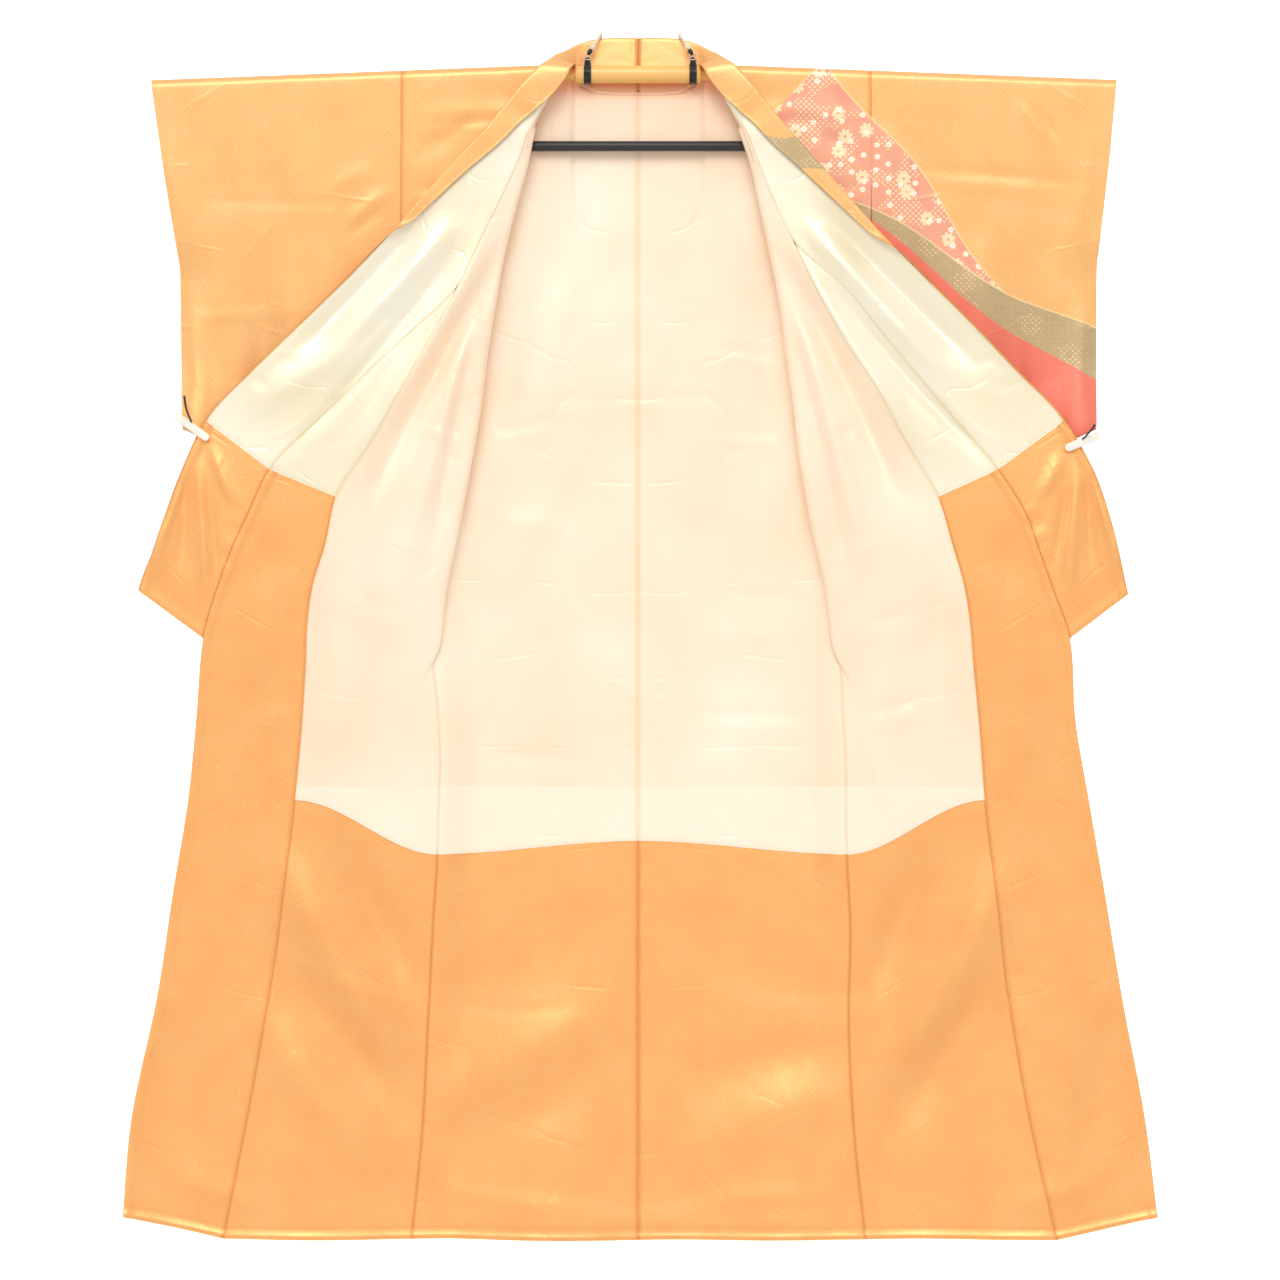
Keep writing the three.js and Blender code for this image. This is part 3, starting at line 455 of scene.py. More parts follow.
def mesh_object(name: str, points: np.ndarray, faces: np.ndarray,
                uv: np.ndarray | None = None) -> bpy.types.Object:
    """Object from points in metres and quads.

    Args:
        name: name of the object and its mesh.
        points: one row per vertex.
        faces: four vertex numbers per face.
        uv: one pair per vertex, or None.

    Returns:
        The new object, smooth shaded and in the scene.
    """
    mesh = bpy.data.meshes.new(name)
    mesh.vertices.add(len(points))
    mesh.vertices.foreach_set("co", points.astype(np.float32).ravel())
    mesh.loops.add(faces.size)
    mesh.loops.foreach_set("vertex_index", faces.astype(np.int32).ravel())
    mesh.polygons.add(len(faces))
    mesh.polygons.foreach_set("loop_start", np.arange(0, faces.size, 4, dtype=np.int32))
    mesh.polygons.foreach_set("use_smooth", np.ones(len(faces), dtype=bool))
    if uv is not None:
        layer = mesh.uv_layers.new(name="cloth")
        layer.data.foreach_set("uv", uv[faces.ravel()].astype(np.float32).ravel())
    mesh.update()
    mesh.validate()
    return in_scene(name, mesh)


def in_scene(name: str, data: bpy.types.ID) -> bpy.types.Object:
    """New object in the scene that holds a mesh, light or camera."""
    obj = bpy.data.objects.new(name, data)
    bpy.context.scene.collection.objects.link(obj)
    return obj


def shell(cloth: Cloth, layer: tuple[float, float], edges: Sequence[Edge], name: str) -> bpy.types.Object:
    """Thin closed shell of a piece of cloth.

    Args:
        cloth: the grid it follows.
        layer: the two offsets of its faces from the grid.
        edges: finish of its first and last columns and its first and last rows.
        name: name of the new object.

    Returns:
        The new object, with its UV map in metres of cloth.
    """
    points, normals = cloth.points.copy(), cloth.normals()
    u, v = cloth.run(1), cloth.run(0)
    outer = layer[1] > 0
    low, high = np.full(u.shape, layer[0]), np.full(u.shape, layer[1])
    sewn = np.zeros(u.shape)
    borders = ((u, np.s_[:, 0], np.s_[:, 1]), (u[:, -1:] - u, np.s_[:, -1], np.s_[:, -2]),
               (v, np.s_[0], np.s_[1]), (v[-1:] - v, np.s_[-1], np.s_[-2]))
    for finish, (distance, line, inner) in zip(edges, borders):
        if finish is Edge.SEAM:
            tuck = SEAM_TUCK * np.exp(-distance / 1.3) * (-1 if outer else 1)
            # share of the seam darkening: the stitch line and painted shade in the seam's fold
            sewn = np.maximum(sewn, np.exp(-((distance / 0.8) ** 2)))
            low, high = low + tuck, high + tuck
        elif finish is Edge.ROLL:
            bead = 2.3 * np.exp(-(((distance - 5) / 4.2) ** 2)) - 0.5 * np.exp(-(((distance - 15) / 2.4) ** 2))
            low = low - (0.0 if outer else bead)
            high = high + (0.5 if outer else 0.2) * bead
        inwards = cloth.points[inner] - cloth.points[line]
        inwards /= np.maximum(np.linalg.norm(inwards, axis=-1, keepdims=True), 1e-6)
        points[line] -= inwards * finish.value[1]
    rows, columns = u.shape
    count = rows * columns
    index = np.arange(count).reshape(rows, columns)
    ring = np.concatenate((index[0, :-1], index[:-1, -1], index[-1, :0:-1], index[:0:-1, 0]))
    after = np.roll(ring, -1)
    rim = np.stack((ring, after, after + count, ring + count), axis=1)
    turn = 1 if cloth.outward < 0 else -1
    faces = np.concatenate((quads(rows, columns)[:, ::turn], quads(rows, columns)[:, ::-turn] + count,
                            rim[:, ::-turn]))
    both = np.concatenate([(points + normals * side[..., None]).reshape(-1, 3) for side in (high, low)])
    uv = np.stack((u, -v), axis=2).reshape(-1, 2) * MM
    obj = mesh_object(name, both * MM, faces, np.tile(uv, (2, 1)))
    # kept on the mesh so that the material can paint each seam's stitch line and shade
    seam = obj.data.attributes.new("seam", "FLOAT", "POINT")
    seam.data.foreach_set("value", np.tile(sewn.ravel(), 2).astype(np.float32))
    return obj


def circle(sides: int) -> np.ndarray:
    """Angles round a circle."""
    return np.linspace(0, 2 * np.pi, sides, endpoint=False)


def squared(wave: np.ndarray, power: float) -> np.ndarray:
    """Sine or cosine whose round is flattened by a power under 1."""
    return np.sign(wave) * np.abs(wave) ** power


def skin(name: str, rings: np.ndarray) -> bpy.types.Object:
    """Closed tube through rings of equal count.

    Args:
        name: name of the new object.
        rings: rings by points by 3, in mm.

    Returns:
        The new object, its ends drawn in to their middles.
    """
    ends = mix(rings[[0, -1]], rings[[0, -1]].mean(axis=1, keepdims=True), 0.999)
    rings = np.concatenate((ends[:1], rings, ends[1:]))
    total, count = rings.shape[:2]
    obj = mesh_object(name, rings.reshape(-1, 3) * MM, quads(total, count, loop_columns=True))
    mesh = bmesh.new()
    mesh.from_mesh(obj.data)
    mesh.verts.ensure_lookup_table()
    for cap in (range(count - 1, -1, -1), range((total - 1) * count, total * count)):
        mesh.faces.new([mesh.verts[i] for i in cap]).smooth = True
    bmesh.ops.recalc_face_normals(mesh, faces=mesh.faces)
    mesh.to_mesh(obj.data)
    mesh.free()
    return obj


def lathe(name: str, profile: Sequence[tuple[float, float]], centre: Callable[[float], Place],
          sides: int = 40) -> bpy.types.Object:
    """Round bar along x, closed at both ends.

    Args:
        name: name of the new object.
        profile: places along x from its middle outwards and the radius there, the same both ways.
        centre: gives the bar's centre at a place along x.
        sides: number of sides.

    Returns:
        The new object.
    """
    a = circle(sides)
    whole = [(-x, radius) for x, radius in reversed(profile)] + list(profile[1:])
    return skin(name, np.array([np.array(centre(x)) + np.stack(
        (0 * a, radius * np.cos(a), radius * np.sin(a)), axis=1) for x, radius in whole]))


def tube(name: str, path: Sequence[Place], radii: Sequence[float], sides: int = 16) -> bpy.types.Object:
    """Round cord or wire along a smooth path.

    Args:
        name: name of the new object.
        path: points of its middle.
        radii: its radius at each of them.
        sides: number of sides.

    Returns:
        The new object.
    """
    knots = np.arange(len(path), dtype=float)
    at = np.linspace(0, len(path) - 1, 8 * (len(path) - 1) + 1)
    centre = through(np.array(path, dtype=float), knots, at)
    ahead = np.gradient(centre, axis=0)
    ahead /= np.linalg.norm(ahead, axis=1, keepdims=True)
    first = np.cross(ahead, (1.0, 0.03, 0.02))
    first /= np.linalg.norm(first, axis=1, keepdims=True)
    a = circle(sides)[None, :, None]
    around = first[:, None] * np.cos(a) + np.cross(ahead, first)[:, None] * np.sin(a)
    return skin(name, centre[:, None] + np.interp(at, knots, radii)[:, None, None] * around)


# ---- finishes --------------------------------------------------------------------------------
def linear(code: int) -> tuple[float, float, float, float]:
    """Linear RGBA of an sRGB hex value."""
    channels = ((code >> shift & 255) / 255 for shift in (16, 8, 0))
    r, g, b = (c / 12.92 if c <= 0.04045 else ((c + 0.055) / 1.055) ** 2.4 for c in channels)
    return r, g, b, 1.0


class Nodes:
    """Builds nodes in one tree and links them into its shader."""

    def __init__(self, tree: bpy.types.NodeTree, shader: str) -> None:
        """Takes a tree.

        Args:
            tree: the node tree.
            shader: name of its shader node.
        """
        self.tree = tree
        self.shader = tree.nodes[shader]

    def add(self, kind: str, settings: dict[str, Any] | None = None, **links: Any) -> bpy.types.Node:
        """Adds one node.

        Args:
            kind: the node's type after ShaderNode.
            settings: properties to set on it.
            links: sockets by number as i0, i1 or by name, each a socket to link or a value.

        Returns:
            The new node.
        """
        node = self.tree.nodes.new("ShaderNode" + kind)
        for key, value in (settings or {}).items():
            setattr(node, key, value)
        for key, value in links.items():
            where = int(key[1:]) if key[0] == "i" and key[1:].isdigit() else key.replace("_", " ")
            if isinstance(value, Socket):
                self.tree.links.new(value, node.inputs[where])
            else:
                node.inputs[where].default_value = value
        return node

    def link(self, socket: Socket, target: str) -> None:
        """Links a socket into the shader."""
        self.tree.links.new(socket, self.shader.inputs[target])

    def put(self, **sockets: Any) -> None:
        """Sets the shader's own sockets, with underscores for the spaces in their names."""
        for socket, value in sockets.items():
            self.shader.inputs[socket.replace("_", " ")].default_value = value


class Surface(Nodes):
    """A material with a Principled surface to link into."""

    def __init__(self, name: str, **sockets: Any) -> None:
        """Starts the material.

        Args:
            name: the material's name.
            sockets: values for the shader's own sockets.
        """
        self.material = bpy.data.materials.new(name)
        self.material.use_nodes = True
        super().__init__(self.material.node_tree, "Principled BSDF")
        self.put(**sockets)


def seam_line_and_shade(surface: Surface, colour: Socket, dark: int) -> Socket:
    """Darkens a cloth's colour along each seam: its stitch line, and painted shade in the seam's fold.

    Args:
        surface: the material to build in.
        colour: the cloth's colour.
        dark: tint that multiplies the colour in the seam.

    Returns:
        The new colour socket.
    """
    seam = surface.add("Attribute", {"attribute_name": "seam"}).outputs["Fac"]
    mixed = surface.add("Mix", {"data_type": "RGBA", "blend_type": "MULTIPLY"}, Factor=seam, i6=colour,
                        i7=linear(dark))
    return mixed.outputs[2]


def rumpled(surface: Surface, cloth: Socket, normal: Socket,
            height: float) -> Socket:
    """Tilts a cloth's normal by the shallow rumples left from lying folded.

    Args:
        surface: the material to build in.
        cloth: the cloth's own coordinates.
        normal: the normal from the finer relief.
        height: of the rumples, in mm.

    Returns:
        The new normal socket.
    """
    long = surface.add("Mapping", Vector=cloth, Scale=(1.0, 0.45, 1.0)).outputs["Vector"]
    rumples = surface.add("TexNoise", {"noise_dimensions": "2D"}, Vector=long, Scale=1 / (34 * MM), Detail=2.5,
                          Roughness=0.45, Distortion=0.6).outputs["Fac"]
    soft = surface.add("Bump", Strength=0.8, Distance=height * MM, Height=rumples, Normal=normal)
    wavy = surface.add("VectorMath", {"operation": "MULTIPLY_ADD"}, i0=surface.add(
        "TexNoise", {"noise_dimensions": "2D"}, Vector=cloth, Scale=1 / (60 * MM)).outputs["Color"],
        i1=(0.012, 0.012, 0.0), i2=cloth).outputs["Vector"]
    oblong = surface.add("Mapping", Vector=wavy, Rotation=(0.0, 0.0, 0.12), Scale=(0.55, 1.35, 1.0))
    folds = surface.add("TexVoronoi", {"voronoi_dimensions": "2D", "feature": "DISTANCE_TO_EDGE"},
                        Vector=oblong.outputs["Vector"], Scale=1 / (150 * MM), Randomness=1.0).outputs["Distance"]
    mark = surface.add("MapRange", {"interpolation_type": "SMOOTHSTEP"}, Value=folds, From_Max=0.035)
    here = surface.add("TexNoise", {"noise_dimensions": "2D"}, Vector=cloth, Scale=1 / (70 * MM), Detail=0.0)
    some = surface.add("MapRange", {"interpolation_type": "SMOOTHSTEP"}, Value=here.outputs["Fac"],
                       From_Min=0.46, From_Max=0.64, To_Max=0.34)
    pressed = surface.add("Bump", Strength=some.outputs["Result"], Distance=0.9 * MM,
                          Height=mark.outputs["Result"], Normal=soft.outputs["Normal"])
    return pressed.outputs["Normal"]


@dataclass(frozen=True)
class SilkCrepe:
    """Figured silk crepe with a satin face: soft broad sheen, a faint woven figure and fine grain.

    Attributes:
        name: the material's name.
        colour: middle colour.
        shade: colour of its darker figure.
        glow: colour of its paler threads.
        roughness: of the satin face.
        metallic: share of the highlight that takes the silk's own colour.
        figure_mm: size of the woven figure.
    """

    name: str
    colour: int
    shade: int
    glow: int
    roughness: float = 0.38
    metallic: float = 0.3
    figure_mm: float = 6.5  # repeat of the woven lozenge figure
    patch_mm: float = 60.0
    grain_mm: float = 2.6  # real crepe grain is about 0.5 mm, drawn coarser so that it shows

    def satin(self) -> Surface:
        """Starts the material with the satin face's own values."""
        return Surface(self.name, Metallic=self.metallic, Sheen_Weight=0.1, Sheen_Roughness=0.4,
                       Specular_IOR_Level=0.4)

    def ground(self, surface: Surface) -> Socket:
        """Builds the silk's own colour, roughness and grain.

        Args:
            surface: the material to build in.

        Returns:
            The colour socket.
        """
        cloth = surface.add("UVMap", {"uv_map": "cloth"}).outputs["UV"]
        patches = surface.add("TexNoise", {"noise_dimensions": "2D"}, Vector=cloth,
                              Scale=1 / (self.patch_mm * MM), Detail=3.0, Roughness=0.6).outputs["Fac"]
        grain = surface.add("TexNoise", {"noise_dimensions": "2D"}, Vector=cloth,
                            Scale=1 / (self.grain_mm * MM), Detail=2.0, Roughness=0.6).outputs["Fac"]
        bands = []
        for turn in (math.pi / 4, -math.pi / 4):
            turned = surface.add("Mapping", Vector=cloth, Rotation=(0.0, 0.0, turn)).outputs["Vector"]
            bands.append(surface.add("TexWave", {"wave_type": "BANDS", "bands_direction": "X"}, Vector=turned,
                                     Scale=WAVE_PERIOD / (self.figure_mm * MM), Distortion=1.2, Detail=1.0,
                                     Detail_Scale=2.0).outputs["Fac"])
        lattice = surface.add("Math", {"operation": "MULTIPLY"}, i0=bands[0], i1=bands[1]).outputs[0]
        fine = surface.add("Math", {"operation": "MULTIPLY_ADD"}, i0=lattice, i1=0.16, i2=grain).outputs[0]
        woven = surface.add("Math", {"operation": "MULTIPLY_ADD"}, i0=patches, i1=0.55, i2=fine)
        ramp_node = surface.add("ValToRGB", Fac=woven.outputs[0])
        stops = ramp_node.color_ramp.elements
        stops[0].position, stops[0].color = 0.6, linear(self.shade)
        stops[1].position, stops[1].color = 1.06, linear(self.glow)
        stops.new(0.82).color = linear(self.colour)
        gloss = surface.add("MapRange", Value=fine, From_Min=0.35, From_Max=0.85,
                            To_Min=self.roughness - 0.05, To_Max=self.roughness + 0.07)
        surface.link(gloss.outputs["Result"], "Roughness")
        bump = surface.add("Bump", Strength=0.09, Distance=0.3 * MM, Height=fine)
        surface.link(rumpled(surface, cloth, bump.outputs["Normal"], 1.1), "Normal")
        # colour with its seams darkened: the stitch line and painted shade in their folds
        return seam_line_and_shade(surface, ramp_node.outputs["Color"], 0xE6BC92)

    def material(self) -> bpy.types.Material:
        """The finished material."""
        surface = self.satin()
        surface.link(self.ground(surface), "Base Color")
        return surface.material


@dataclass(frozen=True)
class PaintedSilk(SilkCrepe):
    """The same silk with a dyed design of flowing mist bands, rosettes, scales and dots."""

    rose: int = 0xEF957E
    rose_pale: int = 0xF8BA94
    olive: int = 0xCFB487
    olive_dark: int = 0xB69B70
    coral: int = 0xF5816A
    ivory: int = 0xFBE3B4
    outline: int = 0xF6D9A0
    collar: bool = False  # the collar carries only a short olive patch

    def material(self) -> bpy.types.Material:
        """The finished material."""
        surface = self.satin()
        ground = self.ground(surface)
        place = surface.add("TexCoord").outputs["Object"]
        axes = surface.add("SeparateXYZ", Vector=place)
        x, z = (surface.add("Math", {"operation": "MULTIPLY"}, i0=axes.outputs[axis], i1=1000.0).outputs[0]
                for axis in ("X", "Z"))
        flat = surface.add("CombineXYZ", X=x, Y=z).outputs["Vector"]
        slant = surface.add("Mapping", Vector=flat, Rotation=(0.0, 0.0, math.pi / 4)).outputs["Vector"]
        soft, half_line = 0.6, 0.9  # half the width of a mask's soft edge, and of a drawn line

        def across(nx: float, nz: float, lobe: float, height: float, phase: float) -> Socket:
            """Distance above a slanting line whose edge flows in long waves."""
            a = surface.add("Math", {"operation": "MULTIPLY"}, i0=x, i1=nx).outputs[0]
            d = surface.add("Math", {"operation": "MULTIPLY_ADD"}, i0=z, i1=nz, i2=a).outputs[0]
            b = surface.add("Math", {"operation": "MULTIPLY"}, i0=x, i1=nz).outputs[0]
            along = surface.add("Math", {"operation": "MULTIPLY_ADD"}, i0=z, i1=-nx, i2=b).outputs[0]
            turn = surface.add("Math", {"operation": "MULTIPLY_ADD"}, i0=along, i1=2 * math.pi / lobe, i2=phase)
            wave = surface.add("Math", {"operation": "SINE"}, i0=turn.outputs[0]).outputs[0]
            return surface.add("Math", {"operation": "MULTIPLY_ADD"}, i0=wave, i1=-height, i2=d).outputs[0]

        def below(distance: Socket, limit: float) -> Socket:
            """Mask that is 1 where the distance is under the limit, soft over about a millimetre."""
            edge = surface.add("MapRange", {"interpolation_type": "SMOOTHSTEP"}, Value=distance,
                               From_Min=limit - soft, From_Max=limit + soft, To_Min=1.0, To_Max=0.0)
            return edge.outputs["Result"]

        def outside(distance: Socket, limit: float) -> Socket:
            """Mask that is 1 where the distance is over the limit."""
            return surface.add("Math", {"operation": "SUBTRACT"}, i0=1.0, i1=below(distance, limit)).outputs[0]

        def line(distance: Socket, limit: float) -> Socket:
            """Mask of a line 1.8 mm wide along a limit."""
            return both(below(distance, limit + half_line), outside(distance, limit - half_line))

        def over(mask: Socket, under: Any, colour: Any) -> Socket:
            """Colour laid over another through a mask."""
            return surface.add("Mix", {"data_type": "RGBA"}, Factor=mask, i6=under, i7=colour).outputs[2]

        def both(first: Socket, second: Socket) -> Socket:
            """Product of two masks."""
            return surface.add("Math", {"operation": "MULTIPLY"}, i0=first, i1=second).outputs[0]

        def flowers(spacing: float, size: float, petals: int, seed: float, chance: float) -> Socket:
            """Mask of scattered rosettes with rounded petals."""
            cells = surface.add("TexVoronoi", {"voronoi_dimensions": "2D", "feature": "F1"}, Vector=flat,
                                Scale=1 / spacing, Randomness=0.75)
            local = surface.add("VectorMath", {"operation": "SUBTRACT"}, i0=flat, i1=cells.outputs["Position"])
            parts_node = surface.add("SeparateXYZ", Vector=local.outputs["Vector"])
            angle = surface.add("Math", {"operation": "ARCTAN2"}, i0=parts_node.outputs["Y"],
                                i1=parts_node.outputs["X"])
            turned = surface.add("Math", {"operation": "MULTIPLY_ADD"}, i0=angle.outputs[0], i1=petals / 2,
                                 i2=seed)
            lobe = surface.add("Math", {"operation": "SINE"}, i0=turned.outputs[0])
            round_ = surface.add("Math", {"operation": "ABSOLUTE"}, i0=lobe.outputs[0])
            edge = surface.add("MapRange", Value=round_.outputs[0], To_Min=0.62 * size, To_Max=size)
            radius = surface.add("VectorMath", {"operation": "LENGTH"}, i0=local.outputs["Vector"])
            gap = surface.add("Math", {"operation": "SUBTRACT"}, i0=radius.outputs["Value"],
                              i1=edge.outputs["Result"])
            shape = below(gap.outputs[0], 0.0)
            eye = surface.add("MapRange", {"interpolation_type": "SMOOTHSTEP"}, Value=radius.outputs["Value"],
                              From_Min=0.14 * size, From_Max=0.24 * size)
            pick = surface.add("SeparateColor", Color=cells.outputs["Color"])
            chosen = surface.add("Math", {"operation": "LESS_THAN"}, i0=pick.outputs["Red"], i1=chance)
            return both(both(shape, eye.outputs["Result"]), chosen.outputs[0])

        def scales(size: float) -> Socket:
            """Mask of thin arcs in rows, as overlapping wave scales."""
            rows = surface.add("Math", {"operation": "DIVIDE"}, i0=z, i1=size * 0.5).outputs[0]
            row = surface.add("Math", {"operation": "FLOOR"}, i0=rows).outputs[0]
            odd = surface.add("Math", {"operation": "PINGPONG"}, i0=row, i1=1.0).outputs[0]
            shifted = surface.add("Math", {"operation": "MULTIPLY_ADD"}, i0=odd, i1=size * 0.5, i2=x).outputs[0]
            column = surface.add("Math", {"operation": "WRAP"}, i0=shifted, i1=size * 0.5,
                                 i2=-size * 0.5).outputs[0]
            up = surface.add("Math", {"operation": "FRACT"}, i0=rows).outputs[0]
            rise = surface.add("Math", {"operation": "MULTIPLY"}, i0=up, i1=size * 0.5).outputs[0]
            away = surface.add("CombineXYZ", X=column, Y=rise)
            far = surface.add("VectorMath", {"operation": "LENGTH"}, i0=away.outputs["Vector"]).outputs["Value"]
            bands = surface.add("Math", {"operation": "MULTIPLY"}, i0=far, i1=2 * math.pi / (size / 6)).outputs[0]
            lines = surface.add("Math", {"operation": "SINE"}, i0=bands).outputs[0]
            return surface.add("MapRange", {"interpolation_type": "SMOOTHSTEP"}, Value=lines, From_Min=0.1,
                               From_Max=0.7).outputs["Result"]

        cells = surface.add("TexVoronoi", {"voronoi_dimensions": "2D", "feature": "F1"}, Vector=slant,
                            Scale=1 / 5.4, Randomness=0.1)
        dots = surface.add("MapRange", {"interpolation_type": "SMOOTHSTEP"}, Value=cells.outputs["Distance"],
                           From_Min=0.2, From_Max=0.34, To_Min=1.0, To_Max=0.0).outputs["Result"]
        clouds = surface.add("TexNoise", {"noise_dimensions": "2D"}, Vector=flat, Scale=1 / 42.0, Detail=1.0)
        patches = surface.add("MapRange", {"interpolation_type": "SMOOTHSTEP"}, Value=clouds.outputs["Fac"],
                              From_Min=0.52, From_Max=0.56).outputs["Result"]
        mist = surface.add("TexNoise", Vector=flat, Scale=1 / 60.0, Detail=2.0).outputs["Fac"]
        rose = over(mist, linear(self.rose), linear(self.rose_pale))
        rose = over(both(dots, patches), rose, linear(self.ivory))
        rose = over(flowers(30.0, 10.5, 8, 0.4, 0.55), rose, linear(self.ivory))
        rose = over(flowers(17.0, 4.2, 5, 1.1, 0.5), rose, linear(0xFFF4DC))
        olive = over(scales(17.0), linear(self.olive), linear(self.olive_dark))
        olive = over(both(dots, flowers(44.0, 18.0, 6, 0.2, 0.5)), olive, linear(0xE9C79A))

        if self.collar:
            level = across(0.12, 0.993, 120.0, 5.0, 0.6)
            patch = both(below(level, -62.0), outside(level, -108.0))
            surface.link(over(patch, ground, olive), "Base Color")
            return surface.material
        upper = across(0.79, 0.61, 300.0, 8.0, 0.9)
        middle = across(0.47, 0.883, 340.0, 9.0, 0.4)
        lower = across(0.58, 0.815, 380.0, 8.0, 1.3)
        start = across(-0.63, 0.776, 160.0, 4.0, 0.3)
        inside = below(start, -152.0)
        colour = over(both(below(upper, 216.0), inside), ground, rose)
        colour = over(both(line(upper, 216.0), inside), colour, linear(self.outline))
        colour = over(both(below(middle, -20.0), inside), colour, olive)
        colour = over(both(line(middle, -20.0), inside), colour, linear(self.outline))
        colour = over(both(below(lower, 14.0), below(middle, -20.0)), colour, linear(self.coral))
        colour = over(below(lower, -130.0), colour, ground)
        colour = over(both(line(lower, -130.0), inside), colour, linear(self.outline))
        surface.link(colour, "Base Color")
        return surface.material


@dataclass(frozen=True)
class PlainSilk:
    """Plain-woven lining silk: smooth, pale, faintly uneven in tint, with a low sheen.

    Attributes:
        name: the material's name.
        colour: middle colour.
        tint: colour of its warmer patches, where the orange behind it glows through.
        pale: colour of its lighter patches.
    """

    name: str
    colour: int
    tint: int
    pale: int
    roughness: float = 0.42
    metallic: float = 0.2
    patch_mm: float = 190.0
    doubled: tuple[float, float] = (-972.0, 0.0)  # where its seam allowance lies double, and its share
    painted_through_glow: float = 0.0  # painted warm glow that stands in for light coming through the thin cloth from behind and lightens its shade
    neck_tint_and_shade: tuple[float, float] = (0.0, 0.0)  # painted warm orange shade below the neck, and the orange seam allowance showing through close to it
    thread_mm: float = 2.4  # real threads are finer, drawn coarser so that they show

    def material(self) -> bpy.types.Material:
        """The finished material."""
        surface = Surface(self.name, Metallic=self.metallic, Sheen_Weight=0.08, Sheen_Roughness=0.45,
                          Specular_IOR_Level=0.4)
        cloth = surface.add("UVMap", {"uv_map": "cloth"}).outputs["UV"]
        place = surface.add("TexCoord").outputs["Object"]
        patches = surface.add("TexNoise", Vector=place, Scale=1 / (self.patch_mm * MM), Detail=2.0)
        weave = surface.add("TexNoise", {"noise_dimensions": "2D"}, Vector=cloth,
                            Scale=1 / (self.thread_mm * MM), Detail=2.0)
        shades = surface.add("ValToRGB", Fac=patches.outputs["Fac"])
        stops = shades.color_ramp.elements
        stops[0].position, stops[0].color = 0.3, linear(self.tint)
        stops[1].position, stops[1].color = 0.76, linear(self.pale)
        stops.new(0.52).color = linear(self.colour)
        height = surface.add("SeparateXYZ", Vector=place).outputs["Z"]
        low, share = self.doubled
        double = surface.add("MapRange", {"interpolation_type": "SMOOTHSTEP"}, Value=height,
                             From_Min=(low + 2) * MM, From_Max=(low - 2) * MM, To_Max=share).outputs["Result"]
        paler = surface.add("Mix", {"data_type": "RGBA"}, Factor=double, i6=shades.outputs["Color"],
                            i7=linear(self.pale))
        # emission paints a warm glow into the lining, in place of light through the thin cloth, and lifts its
        # shade
        surface.shader.inputs["Emission Color"].default_value = linear(0xF8C49A)
        surface.shader.inputs["Emission Strength"].default_value = self.painted_through_glow
        # painted orange shade fading in below the neck, then the seam allowance's orange just under the seam
        near = surface.add("MapRange", Value=height, From_Min=-0.17, From_Max=-0.03, To_Max=self.neck_tint_and_shade[0])
        edge = surface.add("MapRange", {"interpolation_type": "SMOOTHSTEP"}, Value=height, From_Min=-0.036,
                           From_Max=-0.014, To_Max=self.neck_tint_and_shade[1])
        glow = surface.add("Math", {"operation": "ADD"}, i0=near.outputs["Result"], i1=edge.outputs["Result"])
        glowing = surface.add("Mix", {"data_type": "RGBA"}, Factor=glow.outputs[0], i6=paler.outputs[2],
                              i7=linear(0xF9A470))
        # colour with its seams darkened: the stitch line and painted shade in their folds
        surface.link(seam_line_and_shade(surface, glowing.outputs[2], 0xF0E6D2), "Base Color")
        gloss = surface.add("MapRange", Value=weave.outputs["Fac"], To_Min=self.roughness - 0.05,
                            To_Max=self.roughness + 0.06)
        surface.link(gloss.outputs["Result"], "Roughness")
        threads = surface.add("Bump", Strength=0.1, Distance=0.25 * MM, Height=weave.outputs["Fac"])
        surface.link(rumpled(surface, cloth, threads.outputs["Normal"], 1.3), "Normal")
        return surface.material


@dataclass(frozen=True)
class MouldedPlastic:
    """Injection-moulded plastic: an even colour, softly glossy, with faint handling scuffs."""

    name: str
    colour: int
    roughness: float = 0.38

    def material(self) -> bpy.types.Material:
        """The finished material."""
        surface = Surface(self.name, IOR=1.49)
        place = surface.add("TexCoord").outputs["Object"]
        scuffs = surface.add("TexNoise", Vector=place, Scale=1 / (9 * MM), Detail=4.0)
        tint = surface.add("MixRGB", {"blend_type": "MULTIPLY"}, Fac=0.12, Color1=linear(self.colour),
                           Color2=scuffs.outputs["Color"])
        surface.link(tint.outputs["Color"], "Base Color")
        gloss = surface.add("MapRange", Value=scuffs.outputs["Fac"], To_Min=self.roughness - 0.08,
                            To_Max=self.roughness + 0.12)
        surface.link(gloss.outputs["Result"], "Roughness")
        return surface.material


@dataclass(frozen=True)
class LacqueredTube:
    """Lacquered tube: a warm even coat with faint lengthwise drawing lines under it."""

    name: str
    colour: int
    deep: int

    def material(self) -> bpy.types.Material:
        """The finished material."""
        surface = Surface(self.name, Coat_Weight=0.5, Coat_Roughness=0.28, Roughness=0.4, IOR=1.5)
        place = surface.add("TexCoord").outputs["Object"]
        drawn = surface.add("Mapping", Vector=place, Scale=(0.04, 1.0, 1.0)).outputs["Vector"]
        lines = surface.add("TexNoise", Vector=drawn, Scale=1 / (3 * MM), Detail=3.0)
        tint = surface.add("Mix", {"data_type": "RGBA"}, Factor=lines.outputs["Fac"], i6=linear(self.deep),
                           i7=linear(self.colour))
        surface.link(tint.outputs[2], "Base Color")
        return surface.material


